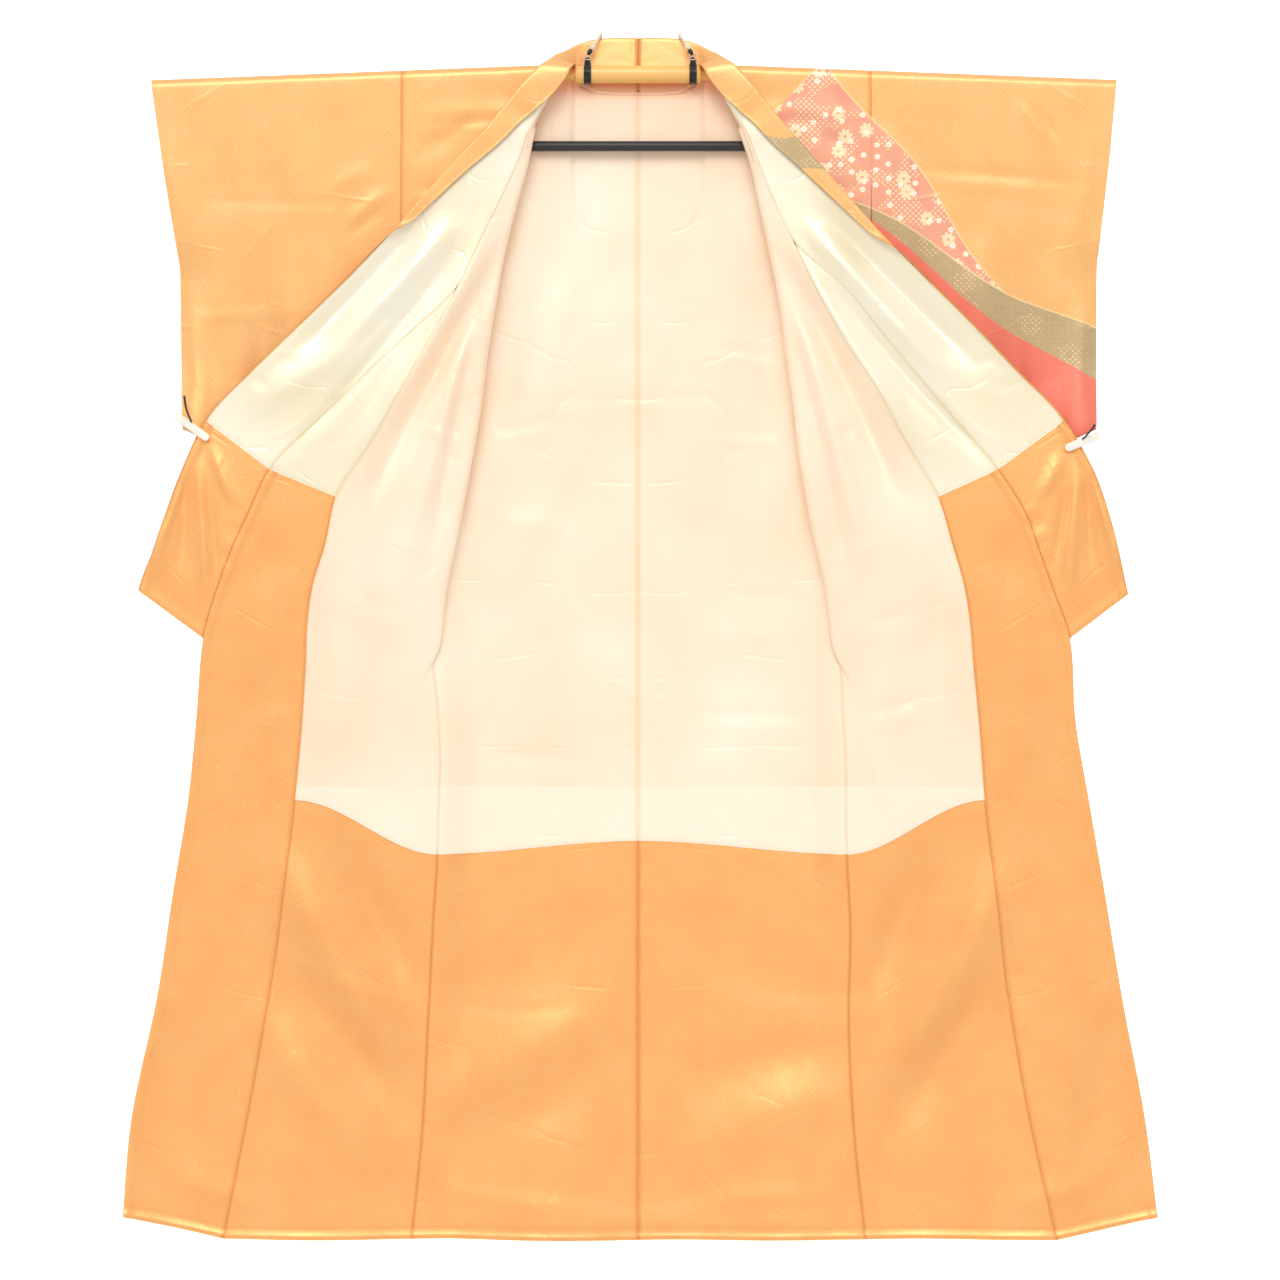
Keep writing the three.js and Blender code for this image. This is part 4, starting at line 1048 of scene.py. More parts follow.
@dataclass(frozen=True)
class PlatedSteel:
    """Nickel-plated steel wire and swivel, bright with a brushed roughness."""

    name: str
    colour: int

    def material(self) -> bpy.types.Material:
        """The finished material."""
        surface = Surface(self.name, Metallic=1.0)
        place = surface.add("TexCoord").outputs["Object"]
        marks = surface.add("TexNoise", Vector=place, Scale=1 / (2 * MM), Detail=3.0)
        tint = surface.add("MixRGB", {"blend_type": "MULTIPLY"}, Fac=0.15, Color1=linear(self.colour),
                           Color2=marks.outputs["Color"])
        surface.link(tint.outputs["Color"], "Base Color")
        gloss = surface.add("MapRange", Value=marks.outputs["Fac"], To_Min=0.2, To_Max=0.38)
        surface.link(gloss.outputs["Result"], "Roughness")
        return surface.material


@dataclass(frozen=True)
class BraidedCord:
    """Braided cotton cord: matt, with a slanting plait drawn in relief."""

    name: str
    colour: int
    shadow: int
    plait_mm: float = 1.6

    def material(self) -> bpy.types.Material:
        """The finished material."""
        surface = Surface(self.name, Roughness=0.8, Sheen_Weight=0.2)
        place = surface.add("TexCoord").outputs["Object"]
        plait = surface.add("TexWave", {"wave_type": "BANDS", "bands_direction": "DIAGONAL"}, Vector=place,
                            Scale=1 / (self.plait_mm * MM * 6), Distortion=1.0)
        tint = surface.add("Mix", {"data_type": "RGBA"}, Factor=plait.outputs["Fac"], i6=linear(self.shadow),
                           i7=linear(self.colour))
        surface.link(tint.outputs[2], "Base Color")
        bump = surface.add("Bump", Strength=0.5, Distance=0.3 * MM, Height=plait.outputs["Fac"])
        surface.link(bump.outputs["Normal"], "Normal")
        return surface.material


class Wardrobe:
    """All the finishes, made once."""

    def __init__(self) -> None:
        """Builds each material."""
        silk = (0xFDBE78, 0xFBB872, 0xFEC580)
        # the garment's warm ground, satin with a broad soft sheen
        self.orange = SilkCrepe("figured_silk_crepe_orange", *silk).material()
        # the same ground under the dyed bands of the wearer's left side
        self.painted = PaintedSilk("painted_silk_crepe", *silk).material()
        self.painted_collar = PaintedSilk("painted_collar_silk_crepe", *silk, collar=True).material()
        # a deeper, glossier orange, so that the lower lining parts from the outer silk
        self.lower = SilkCrepe("satin_lower_lining", 0xFDB56D, 0xFCAF67, 0xFDBC76, roughness=0.39,
                               metallic=0.36).material()
        # the cool pale linings, the deep one warmed by the orange behind it and by a painted glow, the near one
        # whiter
        # the deep lining carries painted orange shade below the neck
        self.body_lining = PlainSilk("plain_silk_lining_warm", 0xFAE5CA, 0xFADFC2, 0xFAEED9,
                                     doubled=(-972.0, 0.7), neck_tint_and_shade=(0.24, 0.5),
                                     painted_through_glow=0.07).material()
        self.cream = PlainSilk("plain_silk_lining_cream", 0xFCF2D8, 0xF8E9C6, 0xFEF7E3, roughness=0.34,
                               metallic=0.32, neck_tint_and_shade=(0.0, 0.85)).material()
        # the hard parts: a glossy warm tube, dark accents beside it, and small bright points of light
        self.rod = LacqueredTube("lacquered_rod", 0xFFCB78, 0xFABB60).material()
        self.black = MouldedPlastic("black_moulded_plastic", 0x2B2C2D).material()
        self.gloss_black = MouldedPlastic("glossy_black_moulded_plastic", 0x1C1C1D, 0.2).material()
        self.white = MouldedPlastic("white_moulded_plastic", 0xFBF6E8, 0.34).material()
        self.bead = MouldedPlastic("cream_moulded_plastic", 0xEFE2C6, 0.34).material()
        self.steel = PlatedSteel("nickel_plated_steel", 0xCFCBC4).material()
        self.cord = BraidedCord("white_braided_cord", 0xF3EAD6, 0xD2C6AC).material()


def dress(obj: bpy.types.Object, material: bpy.types.Material, slot: str, *nodes: str) -> bpy.types.Object:
    """Gives a piece its finish and its place in the frame.

    Args:
        obj: the piece.
        material: its material.
        slot: the record's material slot; not used.
        nodes: CAD nodes that it stands for.

    Returns:
        The piece.
    """
    obj.data.materials.append(material)
    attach(obj, "root")
    if nodes:
        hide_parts(*nodes)
    LOG.info("%s: %d faces", obj.name, len(obj.data.polygons))
    return obj


# ---- the garment -----------------------------------------------------------------------------
@dataclass
class Half:
    """One half of the garment's body: back, opened front, okumi and collar.

    Attributes:
        side: which half.
        sections: its table of sections.
        creases: creases of its visible front.
        wardrobe: the finishes.
        row_mm: distance between smooth sections, about.
    """

    side: SideName
    sections: tuple[Section, ...]
    creases: tuple[Crease, ...]
    wardrobe: Wardrobe
    row_mm: float = 7.0
    HIDDEN, BEND, SHOWN = 30, 12, 34  # cells across the front's hidden layer, its fold, and its visible layer
    NEAR_SEAM = 12.0  # the cells grow finer this close to the collar's seam
    FULL_PLEAT = 45.0  # a pleat this wide is fully formed
    CLEAR_OF_RINGS = 16.6  # the back keeps this far behind the rod's axis between the rings

    def __post_init__(self) -> None:
        """Works out the smooth sections between those of the table."""
        self.names = [field.name for field in fields(Section) + fields(Depth)]
        side_x, side_z, fold_x, seam_x, seam_z = (
            self.names.index(name) for name in ("side_x", "side_z", "fold_x", "seam_x", "seam_z"))
        table = np.array([astuple(s) + astuple(d) for s, d in zip(self.sections, DEPTHS)], dtype=float)
        fall = np.abs(np.diff(table[:, side_z]))
        slant = np.hypot(*np.diff(table[:, [seam_x, seam_z]], axis=0).T)
        step = np.maximum(0.5 * (fall + slant), 8.0)
        rows = [float(len(step))]
        for i, size in enumerate(step):
            cells = max(4, round(size / self.row_mm))
            rows += [i + k / cells for k in range(cells)]
        for stop in (Row.OKUMI_LINING, Row.BODY_LINING, Row.COLLAR_END, Row.HEM):
            rows += [stop - JOIN, stop + JOIN]
        rows += [Row.HEM - JOIN * k for k in range(2, 14)]
        self.t = np.array(sorted(r for r in rows if r <= len(step)))
        knots = np.concatenate(([0.0], np.cumsum(step)))
        lower = through(table[2:], knots[2:], np.interp(self.t, np.arange(len(knots)), knots))
        upper = columns_at(table[:3], (0, 1, 2), self.t)
        self.values = np.where((self.t < Row.OVER_ROD)[:, None], upper, lower)
        self.values[:, fold_x] = np.minimum(self.values[:, fold_x], self.values[:, side_x])

    def row(self, i: int) -> SimpleNamespace:
        """Named values of one smooth section."""
        return SimpleNamespace(**dict(zip(self.names, self.values[i])))

    def at(self, t: float) -> int:
        """Index of the smooth section nearest a section number."""
        return int(np.argmin(np.abs(self.t - t)))

    def joined(self) -> np.ndarray:
        """Share of each section that hangs as one sheet with the back."""
        return ramp((self.t - 15.0) / 1.5)

    # -- front -------------------------------------------------------------------------------
    def turning(self, t: float, start: np.ndarray, end: np.ndarray) -> tuple[np.ndarray, np.ndarray]:
        """Path of the front where it turns back at the collar's seam.

        Args:
            t: number of the section.
            start: its side.
            end: its seam.

        Returns:
            The path, and the shares of its length where its points stand.
        """
        last = math.pi * float(np.interp(t, *TURNING))
        a = np.linspace(0, last, 9)
        turned = np.stack((np.sin(a) - math.sin(last), math.cos(last) - np.cos(a), 0 * a), axis=1)
        arc = end - TURN_RADIUS * turned
        path = np.concatenate((start[None], arc)) if last > 0 else np.array((start, end))
        run = lengths(path)
        near = 1 - self.NEAR_SEAM / run[-1]
        near = min(run[1] / run[-1], near) if last > 0 else near
        return path, parts((0.002, 1), (near, self.HIDDEN - 1), (mix(near, 1, 0.6), self.BEND),
                           (1 - 0.3 / run[-1], self.SHOWN - 1), (1.0, 1))

    def pleated(self, r: SimpleNamespace, start: np.ndarray, end: np.ndarray,
                strength: float) -> tuple[np.ndarray, np.ndarray]:
        """Path of the front from its side, round its fold and out to its seam.

        Args:
            r: the section.
            start: its side.
            end: its seam.
            strength: how far its fold is formed, from 0 to 1.

        Returns:
            The path, and the shares of its length where its points stand.
        """
        half = max((r.hidden_y - r.fold_y) / 2, 0.0)
        radius = max(min(FOLD_RADIUS, (r.side_x - r.fold_x) / 3, half, r.seam_x - r.fold_x - 1), 0.0)
        turn_z = mix(r.side_z, r.seam_z, 0.3)
        a = np.linspace(0, math.pi, 13)
        middle = (r.hidden_y + r.fold_y) / 2
        arc = np.stack((r.fold_x + radius * (1 - np.sin(a)), middle + half * np.cos(a), 0 * a + turn_z), axis=1)
        inner = np.array([[r.side_x - 8 * strength, r.hidden_y, mix(r.side_z, turn_z, 0.1)]])
        path = np.concatenate((start[None], inner, arc, end[None])) if strength > 0 else np.array((start, end))
        run = lengths(path)
        rim = 0.6 / run[-1]
        shares = parts((rim, 1), (1 - rim, self.HIDDEN + self.BEND + self.SHOWN - 2), (1.0, 1))
        if strength > 0:
            bent = parts((rim, 1), (run[2] / run[-1], self.HIDDEN - 1), (run[14] / run[-1], self.BEND),
                         (1 - rim, self.SHOWN - 1), (1.0, 1))
            shares = mix(shares, bent, strength)
        return path, shares

    def front_row(self, i: int) -> np.ndarray:
        """Points of the front panel across one section, from the side to the okumi seam."""
        t, r = float(self.t[i]), self.row(i)
        if t < Row.OVER_ROD:
            angle = math.radians(SECTION_ANGLE * t)
            y, z = -HANG * math.sin(angle), HANG * math.cos(angle)
            near = 1 - self.NEAR_SEAM / (r.side_x - r.seam_x)
            shares = parts((0.002, 1), (near, self.HIDDEN - 1), (0.998, self.BEND + self.SHOWN - 1), (1.0, 1))
            points = spaced(np.array(((r.side_x, y, z), (r.seam_x, y, z))), shares)
            points[:, 2] += arm_z(points[:, 0])
            return points
        start = np.array((r.side_x, r.side_y, r.side_z))
        end = np.array((r.seam_x, r.seam_y, r.seam_z))
        pleat = r.side_x - r.fold_x
        if t < Row.TURN_END:
            strength = 1.0
            path, shares = self.turning(t, start, end)
        else:
            strength = float(ramp(pleat / self.FULL_PLEAT))
            path, shares = self.pleated(r, start, end, strength)
        points = spaced(path, shares)
        level = mix(start[None], end[None], shares[:, None])
        points = mix(level, points, float(ramp(pleat / 15)) if t > Row.JOINED else 1.0)
        points[:, 2] = mix(mix(r.side_z, r.seam_z, ramp(shares)), points[:, 2], strength)
        points[:, 2] += arm_z(points[:, 0]) * np.clip(1 + points[:, 2] / FALL, 0, 1) * (t < Row.JOINED)
        return points

    def front(self) -> Cloth:
        """The front panel, creased and waved."""
        grid = np.array([self.front_row(i) for i in range(len(self.t))])
        column = np.arange(grid.shape[1])
        shown = ramp((column - 36) / 6)[None, :] * ramp((self.t - 4) / 2)[:, None]
        joined = self.joined()[:, None]
        away = ramp(column / 24)[None, :]
        return self.finish_grid(grid, mix(shown, away, joined), (1 - joined) * (1 - shown), joined)

    def finish_grid(self, grid: np.ndarray, shown: Any, hidden: Any, joined: np.ndarray) -> Cloth:
        """Adds waves and creases and turns the grid to its own side.

        Args:
            grid: points with x outwards.
            shown: share of the visible front's creases at each point.
            hidden: share of the creases of the layer behind it.
            joined: share of the creases that cross the whole lower body.

        Returns:
            The finished cloth.
        """
        sign = self.side.value
        x, z = grid[..., 0], grid[..., 2]
        lift = (shown * relief(self.creases, sign * x, z) + hidden * relief(HIDDEN_FRONT_CREASES, x, z)
                + joined * relief(BODY_CREASES, sign * x, z))
        grid = grid.copy()
        grid[..., 1] += hem_wave(sign * x, z) - lift
        grid[..., 0] *= sign
        return Cloth(grid, sign)

    # -- back --------------------------------------------------------------------------------
    def back(self) -> Cloth:
        """The back panel, from the centre seam to its side edge."""
        shares = parts((0.002, 1), (0.24, 12), (0.3, 8), (0.93, 30), (0.998, 6), (1.0, 1))
        neck = np.array([(n.share, n.angle, n.radius) for n in NECK])
        angles, radii = columns_at(neck[:, 1:], neck[:, 0], shares).T
        clear = np.interp(shares, (0, 0.27, 0.289), (self.CLEAR_OF_RINGS, self.CLEAR_OF_RINGS, HANG))
        behind = ramp((angles - 80) / 20)
        rows = []
        for i, t in enumerate(self.t):
            r = self.row(i)
            x = shares * r.side_x
            if t < Row.OVER_ROD:
                angle, turn = np.radians(angles), t / 2
                over = np.radians(mix(angles, np.maximum(90, angles), turn))
                reach = mix(radii, np.maximum(radii, clear), turn)
                y = mix(reach * np.sin(over), mix(radii * np.sin(angle), clear, turn), behind)
                z = mix(reach * np.cos(over), radii * np.cos(angle) - 8 * turn, behind)
                rows.append(np.stack((x, y, z + arm_z(x)), axis=1))
                continue
            middle = r.side_z if r.side_z > -799 else float(np.interp(
                r.side_z, (-1592, LINING_END_SIDE, -799), (HEM, LINING_END, -799)))
            fall = arm_z(x) * np.clip(1 + r.side_z / FALL, 0, 1) * (t < Row.JOINED)
            z = mix(middle, r.side_z, ramp(shares)) + fall
            if t < 3:
                first = rows[self.at(Row.OVER_ROD) - 1][:, 2] - 1.0
                z = np.minimum(z, mix(first, z, ramp(t - 2)))
            level = mix(clear, BACK_DEPTH, ramp(-r.side_z / 250))
            edge = r.side_y * float(np.interp(t, (Row.JOINED - 1, Row.JOINED), (-1, 1)))
            rows.append(np.stack((x, mix(level, edge, ramp((shares - 0.8) / 0.2)), z), axis=1))
        grid = np.array(rows)
        sign = self.side.value
        x, z = grid[..., 0] * sign, grid[..., 2]
        own = (1 - ramp((shares - 0.82) / 0.17))[None, :] * ramp(-z / 120)
        grid[..., 1] += hem_wave(x, z) - relief(BACK_CREASES, x, z) * own
        grid[..., 1] -= self.joined()[:, None] * relief(BODY_CREASES, x, z)
        grid[..., 0] = x
        return Cloth(grid, sign)

    # -- okumi and collar --------------------------------------------------------------------
    def okumi(self) -> Cloth:
        """The okumi, straight across from its front seam to its outer edge."""
        shares = parts((0.005, 1), (0.995, 26), (1.0, 1))[:, None]
        first = self.at(Row.KENSAKI[self.side])
        rows = []
        for r in map(self.row, range(first, len(self.t))):
            seam = np.array([[r.seam_x, r.seam_y, r.seam_z]])
            edge = np.array([[max(r.edge_x, r.seam_x + 1.0), r.edge_y, r.edge_z]])
            rows.append(mix(seam, edge, shares))
        return self.finish_grid(np.array(rows), 1.0, 0.0, self.joined()[first:, None])

    def collar_row(self, seam: np.ndarray, fold: np.ndarray, turn: tuple[float, float], outward: np.ndarray,
                   flap: float) -> np.ndarray:
        """Points of the collar across one section.

        Args:
            seam: where it is sewn to the body or okumi.
            fold: its outer edge.
            turn: the part of a half turn that it makes at the seam, from and to.
            outward: the way it leaves the cloth that it is sewn to.
            flap: width turned over towards the viewer.

        Returns:
            Its points from the seam to its last edge.
        """
        first = math.pi * turn[0]
        path = [seam]
        if turn[1] > turn[0]:
            path += [seam - np.array([1.0, 0, 0]) * TURN_RADIUS * (math.sin(a) - math.sin(first))
                     + outward * TURN_RADIUS * (math.cos(first) - math.cos(a))
                     for a in np.linspace(first, math.pi * turn[1], 9)[1:]]
        run = fold - path[-1]
        run /= np.linalg.norm(run)
        towards = np.array([0.0, -1.0, 0.0]) + run * run[1]
        towards /= np.linalg.norm(towards)
        roll = math.pi * float(np.clip(flap / 8, 0, 1))
        centre = fold - run * ROLL_RADIUS + towards * ROLL_RADIUS
        curl = [centre + run * ROLL_RADIUS * math.sin(a) - towards * ROLL_RADIUS * math.cos(a)
                for a in np.linspace(0, roll, 13)]
        rest = max(flap - ROLL_RADIUS, 0.3)
        last = curl[-1] + run * rest * math.cos(roll) + towards * rest * math.sin(roll)
        points = np.array(path + curl + [last])
        size = lengths(points)
        share = size / size[-1]
        rim = 0.3 / size[-1]
        bent = max(share[len(path) - 1], 0.12)
        featured = parts((rim, 1), (bent, 7), (share[len(path)], 18), (share[len(path) + 12], 10),
                         (1 - rim, 11), (1.0, 1))
        even = parts((rim, 1), (0.95, 30), (1 - rim, 16), (1.0, 1))
        return spaced(points, mix(even, featured, float(ramp(flap / 6))))

    def collar(self) -> tuple[Cloth, int]:
        """The collar from the centre back to its tip.

        Returns:
            The cloth, and the row where its cream lining meets its orange tip.
        """
        gaps = [math.hypot(b.fold_x - a.fold_x, b.fold_z - a.fold_z) + 4 for a, b in zip(NECK, NECK[1:])]
        knots = np.cumsum([0.0] + gaps)
        at = np.concatenate([np.linspace(a, b, 7)[:-1] for a, b in zip(knots, knots[1:])])
        table = np.array([astuple(n) for n in NECK])
        rows = []
        seams, folds = columns_at(table[:, :3], knots, at), through(table, knots, at)
        for (share, degrees, radius), values in zip(seams, folds):
            angle = math.radians(degrees)
            outward = np.array([0.0, math.sin(angle), math.cos(angle)])
            seam = np.array([share * self.sections[0].side_x, 0, 0]) + radius * outward
            rows.append(self.collar_row(seam, values[3:6], (0.0, 0.0), outward, values[6]))
        neck_rows = len(rows)
        end = self.at(Row.COLLAR_END) + 1
        for i in range(end):
            t, r = float(self.t[i]), self.row(i)
            angle = math.radians(SECTION_ANGLE * min(t, Row.OVER_ROD))
            outward = np.array([0.0, -math.sin(angle), math.cos(angle)])
            seam = np.array((r.edge_x, r.edge_y, r.edge_z))
            if t < Row.OVER_ROD:
                seam[1:] = HANG * outward[1:]
            turn = (float(np.interp(t, *TURNING)), float(np.interp(t, (0, 1, 2), (0.2, 0.6, 1))))
            turn = turn if t < Row.TURN_END else (0.0, 0.0)
            wing = np.array((r.wing_x, r.wing_y, r.wing_z))
            rows.append(self.collar_row(seam, wing, turn, outward, r.flap))
        grid = np.array(rows)
        x, z = grid[..., 0], grid[..., 2]
        sign = self.side.value
        joined = np.concatenate((np.zeros(neck_rows), self.joined()[:end]))[:, None]
        grid[..., 1] -= ramp((-60 - z) / 60) * relief(self.creases, sign * x, z)
        grid[..., 1] -= joined * relief(BODY_CREASES, sign * x, z)
        grid[..., 0] *= sign
        return Cloth(grid, sign), neck_rows + self.at(Row.OKUMI_LINING)

    # -- pieces ------------------------------------------------------------------------------
    def layer(self, cloth: Cloth, name: str, edges: tuple[Edge, Edge, Edge, Edge], material: bpy.types.Material,
              slot: str, flat: tuple[float, float], area: float) -> None:
        """Makes and dresses one piece of cloth.

        Args:
            cloth: the grid it follows.
            name: its name without the side.
            edges: finish of its first and last columns and its first and last rows.
            material: its finish.
            slot: the record's material slot.
            flat: width and length of its flat cut, in metres; not used.
            area: of that cut, in square metres; not used.
        """
        node = f"{name}_{self.side.word}"
        obj = shell(cloth, LINING if "lining" in name else SILK, edges, f"silk_{node}")
        dress(obj, material, slot, node)

    def lined(self, cloth: Cloth, name: str, split: int, edges: tuple[Edge, Edge, Edge],
              looks: tuple[bpy.types.Material, str, bpy.types.Material],
              cuts: tuple[tuple[float, float, float], ...]) -> None:
        """Makes a panel of outer silk with its upper and its lower lining.

        Args:
            cloth: the grid that all three follow.
            name: the panel's name without the side.
            split: the row where the linings meet.
            edges: finish of its last column for the silk, the upper lining and the lower lining.
            looks: finish and slot of the outer silk, and finish of the upper lining.
            cuts: flat width, flat length and area of the three.
        """
        seam, roll = Edge.SEAM, Edge.ROLL
        collar = name == "collar"
        top = seam if collar else Edge.FREE
        outer, slot, upper = looks
        pieces = ((cloth, name, top, roll, outer, slot),
                  (cloth.cut(0, split), f"{name}_lining", top, seam, upper, "cream_lining"),
                  (cloth.cut(split, len(cloth.points) - 1), f"{name}_{'tip' if collar else 'hem'}_lining", seam,
                   roll, self.wardrobe.lower, "orange_lining"))
        for (grid, node, first, last, material, place), side, cut in zip(pieces, edges, cuts):
            self.layer(grid, node, (seam, side, first, last), material, place, cut[:2], cut[2])

    def build(self) -> None:
        """Builds every piece of this half."""
        w, left = self.wardrobe, self.side is SideName.LEFT
        outer, slot = (w.painted, "painted_silk") if left else (w.orange, "orange_silk")
        seam, free, roll = Edge.SEAM, Edge.FREE, Edge.ROLL
        end = self.at(Row.BODY_LINING)
        self.lined(self.back(), "back", end, (seam, seam, seam), (outer, slot, w.body_lining),
                   ((0.325, 1.62, 0.495), (0.325, 1.07, 0.325), (0.315, 0.56, 0.165)))
        self.lined(self.front(), "front", end, (seam, seam, seam), (outer, slot, w.body_lining),
                   ((0.27, 1.64, 0.355), (0.26, 1.08, 0.225), (0.27, 0.61, 0.135)))
        short = (0.12, 0.4, 0.0215) if left else (0.12, 0.36, 0.0175)
        split = self.at(Row.OKUMI_LINING) - self.at(Row.KENSAKI[self.side])
        self.lined(self.okumi(), "okumi", split, (roll, seam, roll), (outer, slot, w.cream),
                   ((0.15, 1.36, 0.165), short, (0.15, 1.04, 0.145)))
        collar, tip = self.collar()
        self.lined(collar, "collar", tip, (Edge.LIP, free, roll),
                   (w.painted_collar if left else w.orange, slot, w.cream),
                   ((0.115, 1.08, 0.108), (0.115, 0.82, 0.08), (0.112, 0.27, 0.027)))


@dataclass
class Sleeve:
    """A sleeve: one length of silk over the rod, sewn along its bottom and below the hand opening.

    Attributes:
        side: which sleeve.
        seam_x: where it is sewn to the body.
        cuff: height and distance from the centre line of its outer edge, from the top down.
        creases: creases of its front.
        material: its outer silk.
        slot: the record's slot of that silk.
        lining: its lining.
        bottom: height of its bottom.
        wall: its thickness.
        columns: cells from the body to the cuff.
    """

    side: SideName
    seam_x: float
    cuff: tuple[tuple[float, float], ...]
    creases: tuple[Crease, ...]
    material: bpy.types.Material
    slot: str
    lining: bpy.types.Material
    bottom: float = -503.0
    wall: float = 0.9
    columns: int = 84

    def ring(self, share: float, inset: float) -> np.ndarray:
        """Loop of the sleeve at a share of its length from the body.

        Args:
            share: 0 at the body, 1 at the cuff.
            inset: distance inside its outer face.

        Returns:
            Points over the rod, down the front, and up the back.
        """
        outer = HANG + 0.7
        low = self.bottom + 16 * float(ramp((share - 0.93) / 0.07)) * 0.7 + inset
        down = np.concatenate((np.linspace(-6, -230, 34), np.linspace(-236, low + 5, 40)))
        closing = ramp((share - 0.8) / 0.2) * ramp((-215 - down) / 60)
        thick = mix(mix(outer, 8.0, ramp((-down - 40) / 420)), 1.5, closing)
        foot = np.sqrt(np.clip((down - low) / 14.0, 0.02, 1.0))
        half = thick * mix(1.0, foot, ramp((low + 40 - down) / 40)) - inset
        top = np.radians(np.linspace(90, -90, 17))
        radius = outer - inset
        over = np.stack((radius * np.sin(top), radius * np.cos(top)), axis=1)
        front = np.stack((-half, down), axis=1)
        flat_y, z = np.concatenate((over, front, front[::-1] * np.array([-1.0, 1.0]))).T
        cuff_z, cuff_x = np.array(self.cuff).T
        x = mix(self.seam_x, np.interp(-z, -cuff_z, cuff_x), share)
        waves = 5 * np.sin(2 * np.pi * (x - 330) / 150) + 2 * np.sin(2 * np.pi * (x - 300) / 67 + 0.8)
        sway = waves * ramp((-200 - z) / 200) - 15 * ramp((share - 0.7) / 0.3) * ramp((-380 - z) / 110)
        facing = np.where(flat_y < 0, -relief(self.creases, self.side.value * x, z),
                          relief(SLEEVE_BACK_CREASES, x, z))
        y = flat_y + sway * ramp(-z / 12) + facing * ramp(-z / 40)
        fall = arm_z(x) * np.clip(1 + np.minimum(z, 0) / 480, 0, 1)
        return np.stack((self.side.value * x, y, z + fall), axis=1)

    def build(self) -> None:
        """Builds the sleeve as one shell with its lining on the inside."""
        shares = parts((0.002, 1), (0.8, 52), (0.997, self.columns - 54), (1.0, 1))
        outer, inner = (np.array([self.ring(s, inset) for s in shares]) for inset in (0.0, self.wall))
        for edge, sink in ((0, 0.5), (-1, 0.35)):
            outer[edge] = mix(outer[edge], (outer[edge] + inner[edge]) / 2, sink)
        rings = np.concatenate((outer, inner[::-1]))
        count = rings.shape[1]
        faces = quads(len(rings), count, True, True)
        faces = faces[:, ::-1] if self.side is SideName.RIGHT else faces
        girth = lengths(outer[len(outer) // 2])
        across = np.abs(rings[..., 0] - rings[0, 0, 0])
        uv = np.stack((across, np.broadcast_to(-girth, across.shape)), axis=2).reshape(-1, 2) * MM
        name = f"sleeve_{self.side.word}"
        obj = mesh_object(f"silk_{name}", rings.reshape(-1, 3) * MM, faces, uv)
        dress(obj, self.material, self.slot, name)
        obj.data.materials.append(self.lining)
        ring_of = np.arange(len(faces)) // count
        inside = (ring_of >= len(outer)) & (ring_of < 2 * len(outer) - 1)
        obj.data.polygons.foreach_set("material_index", inside.astype(np.int32))


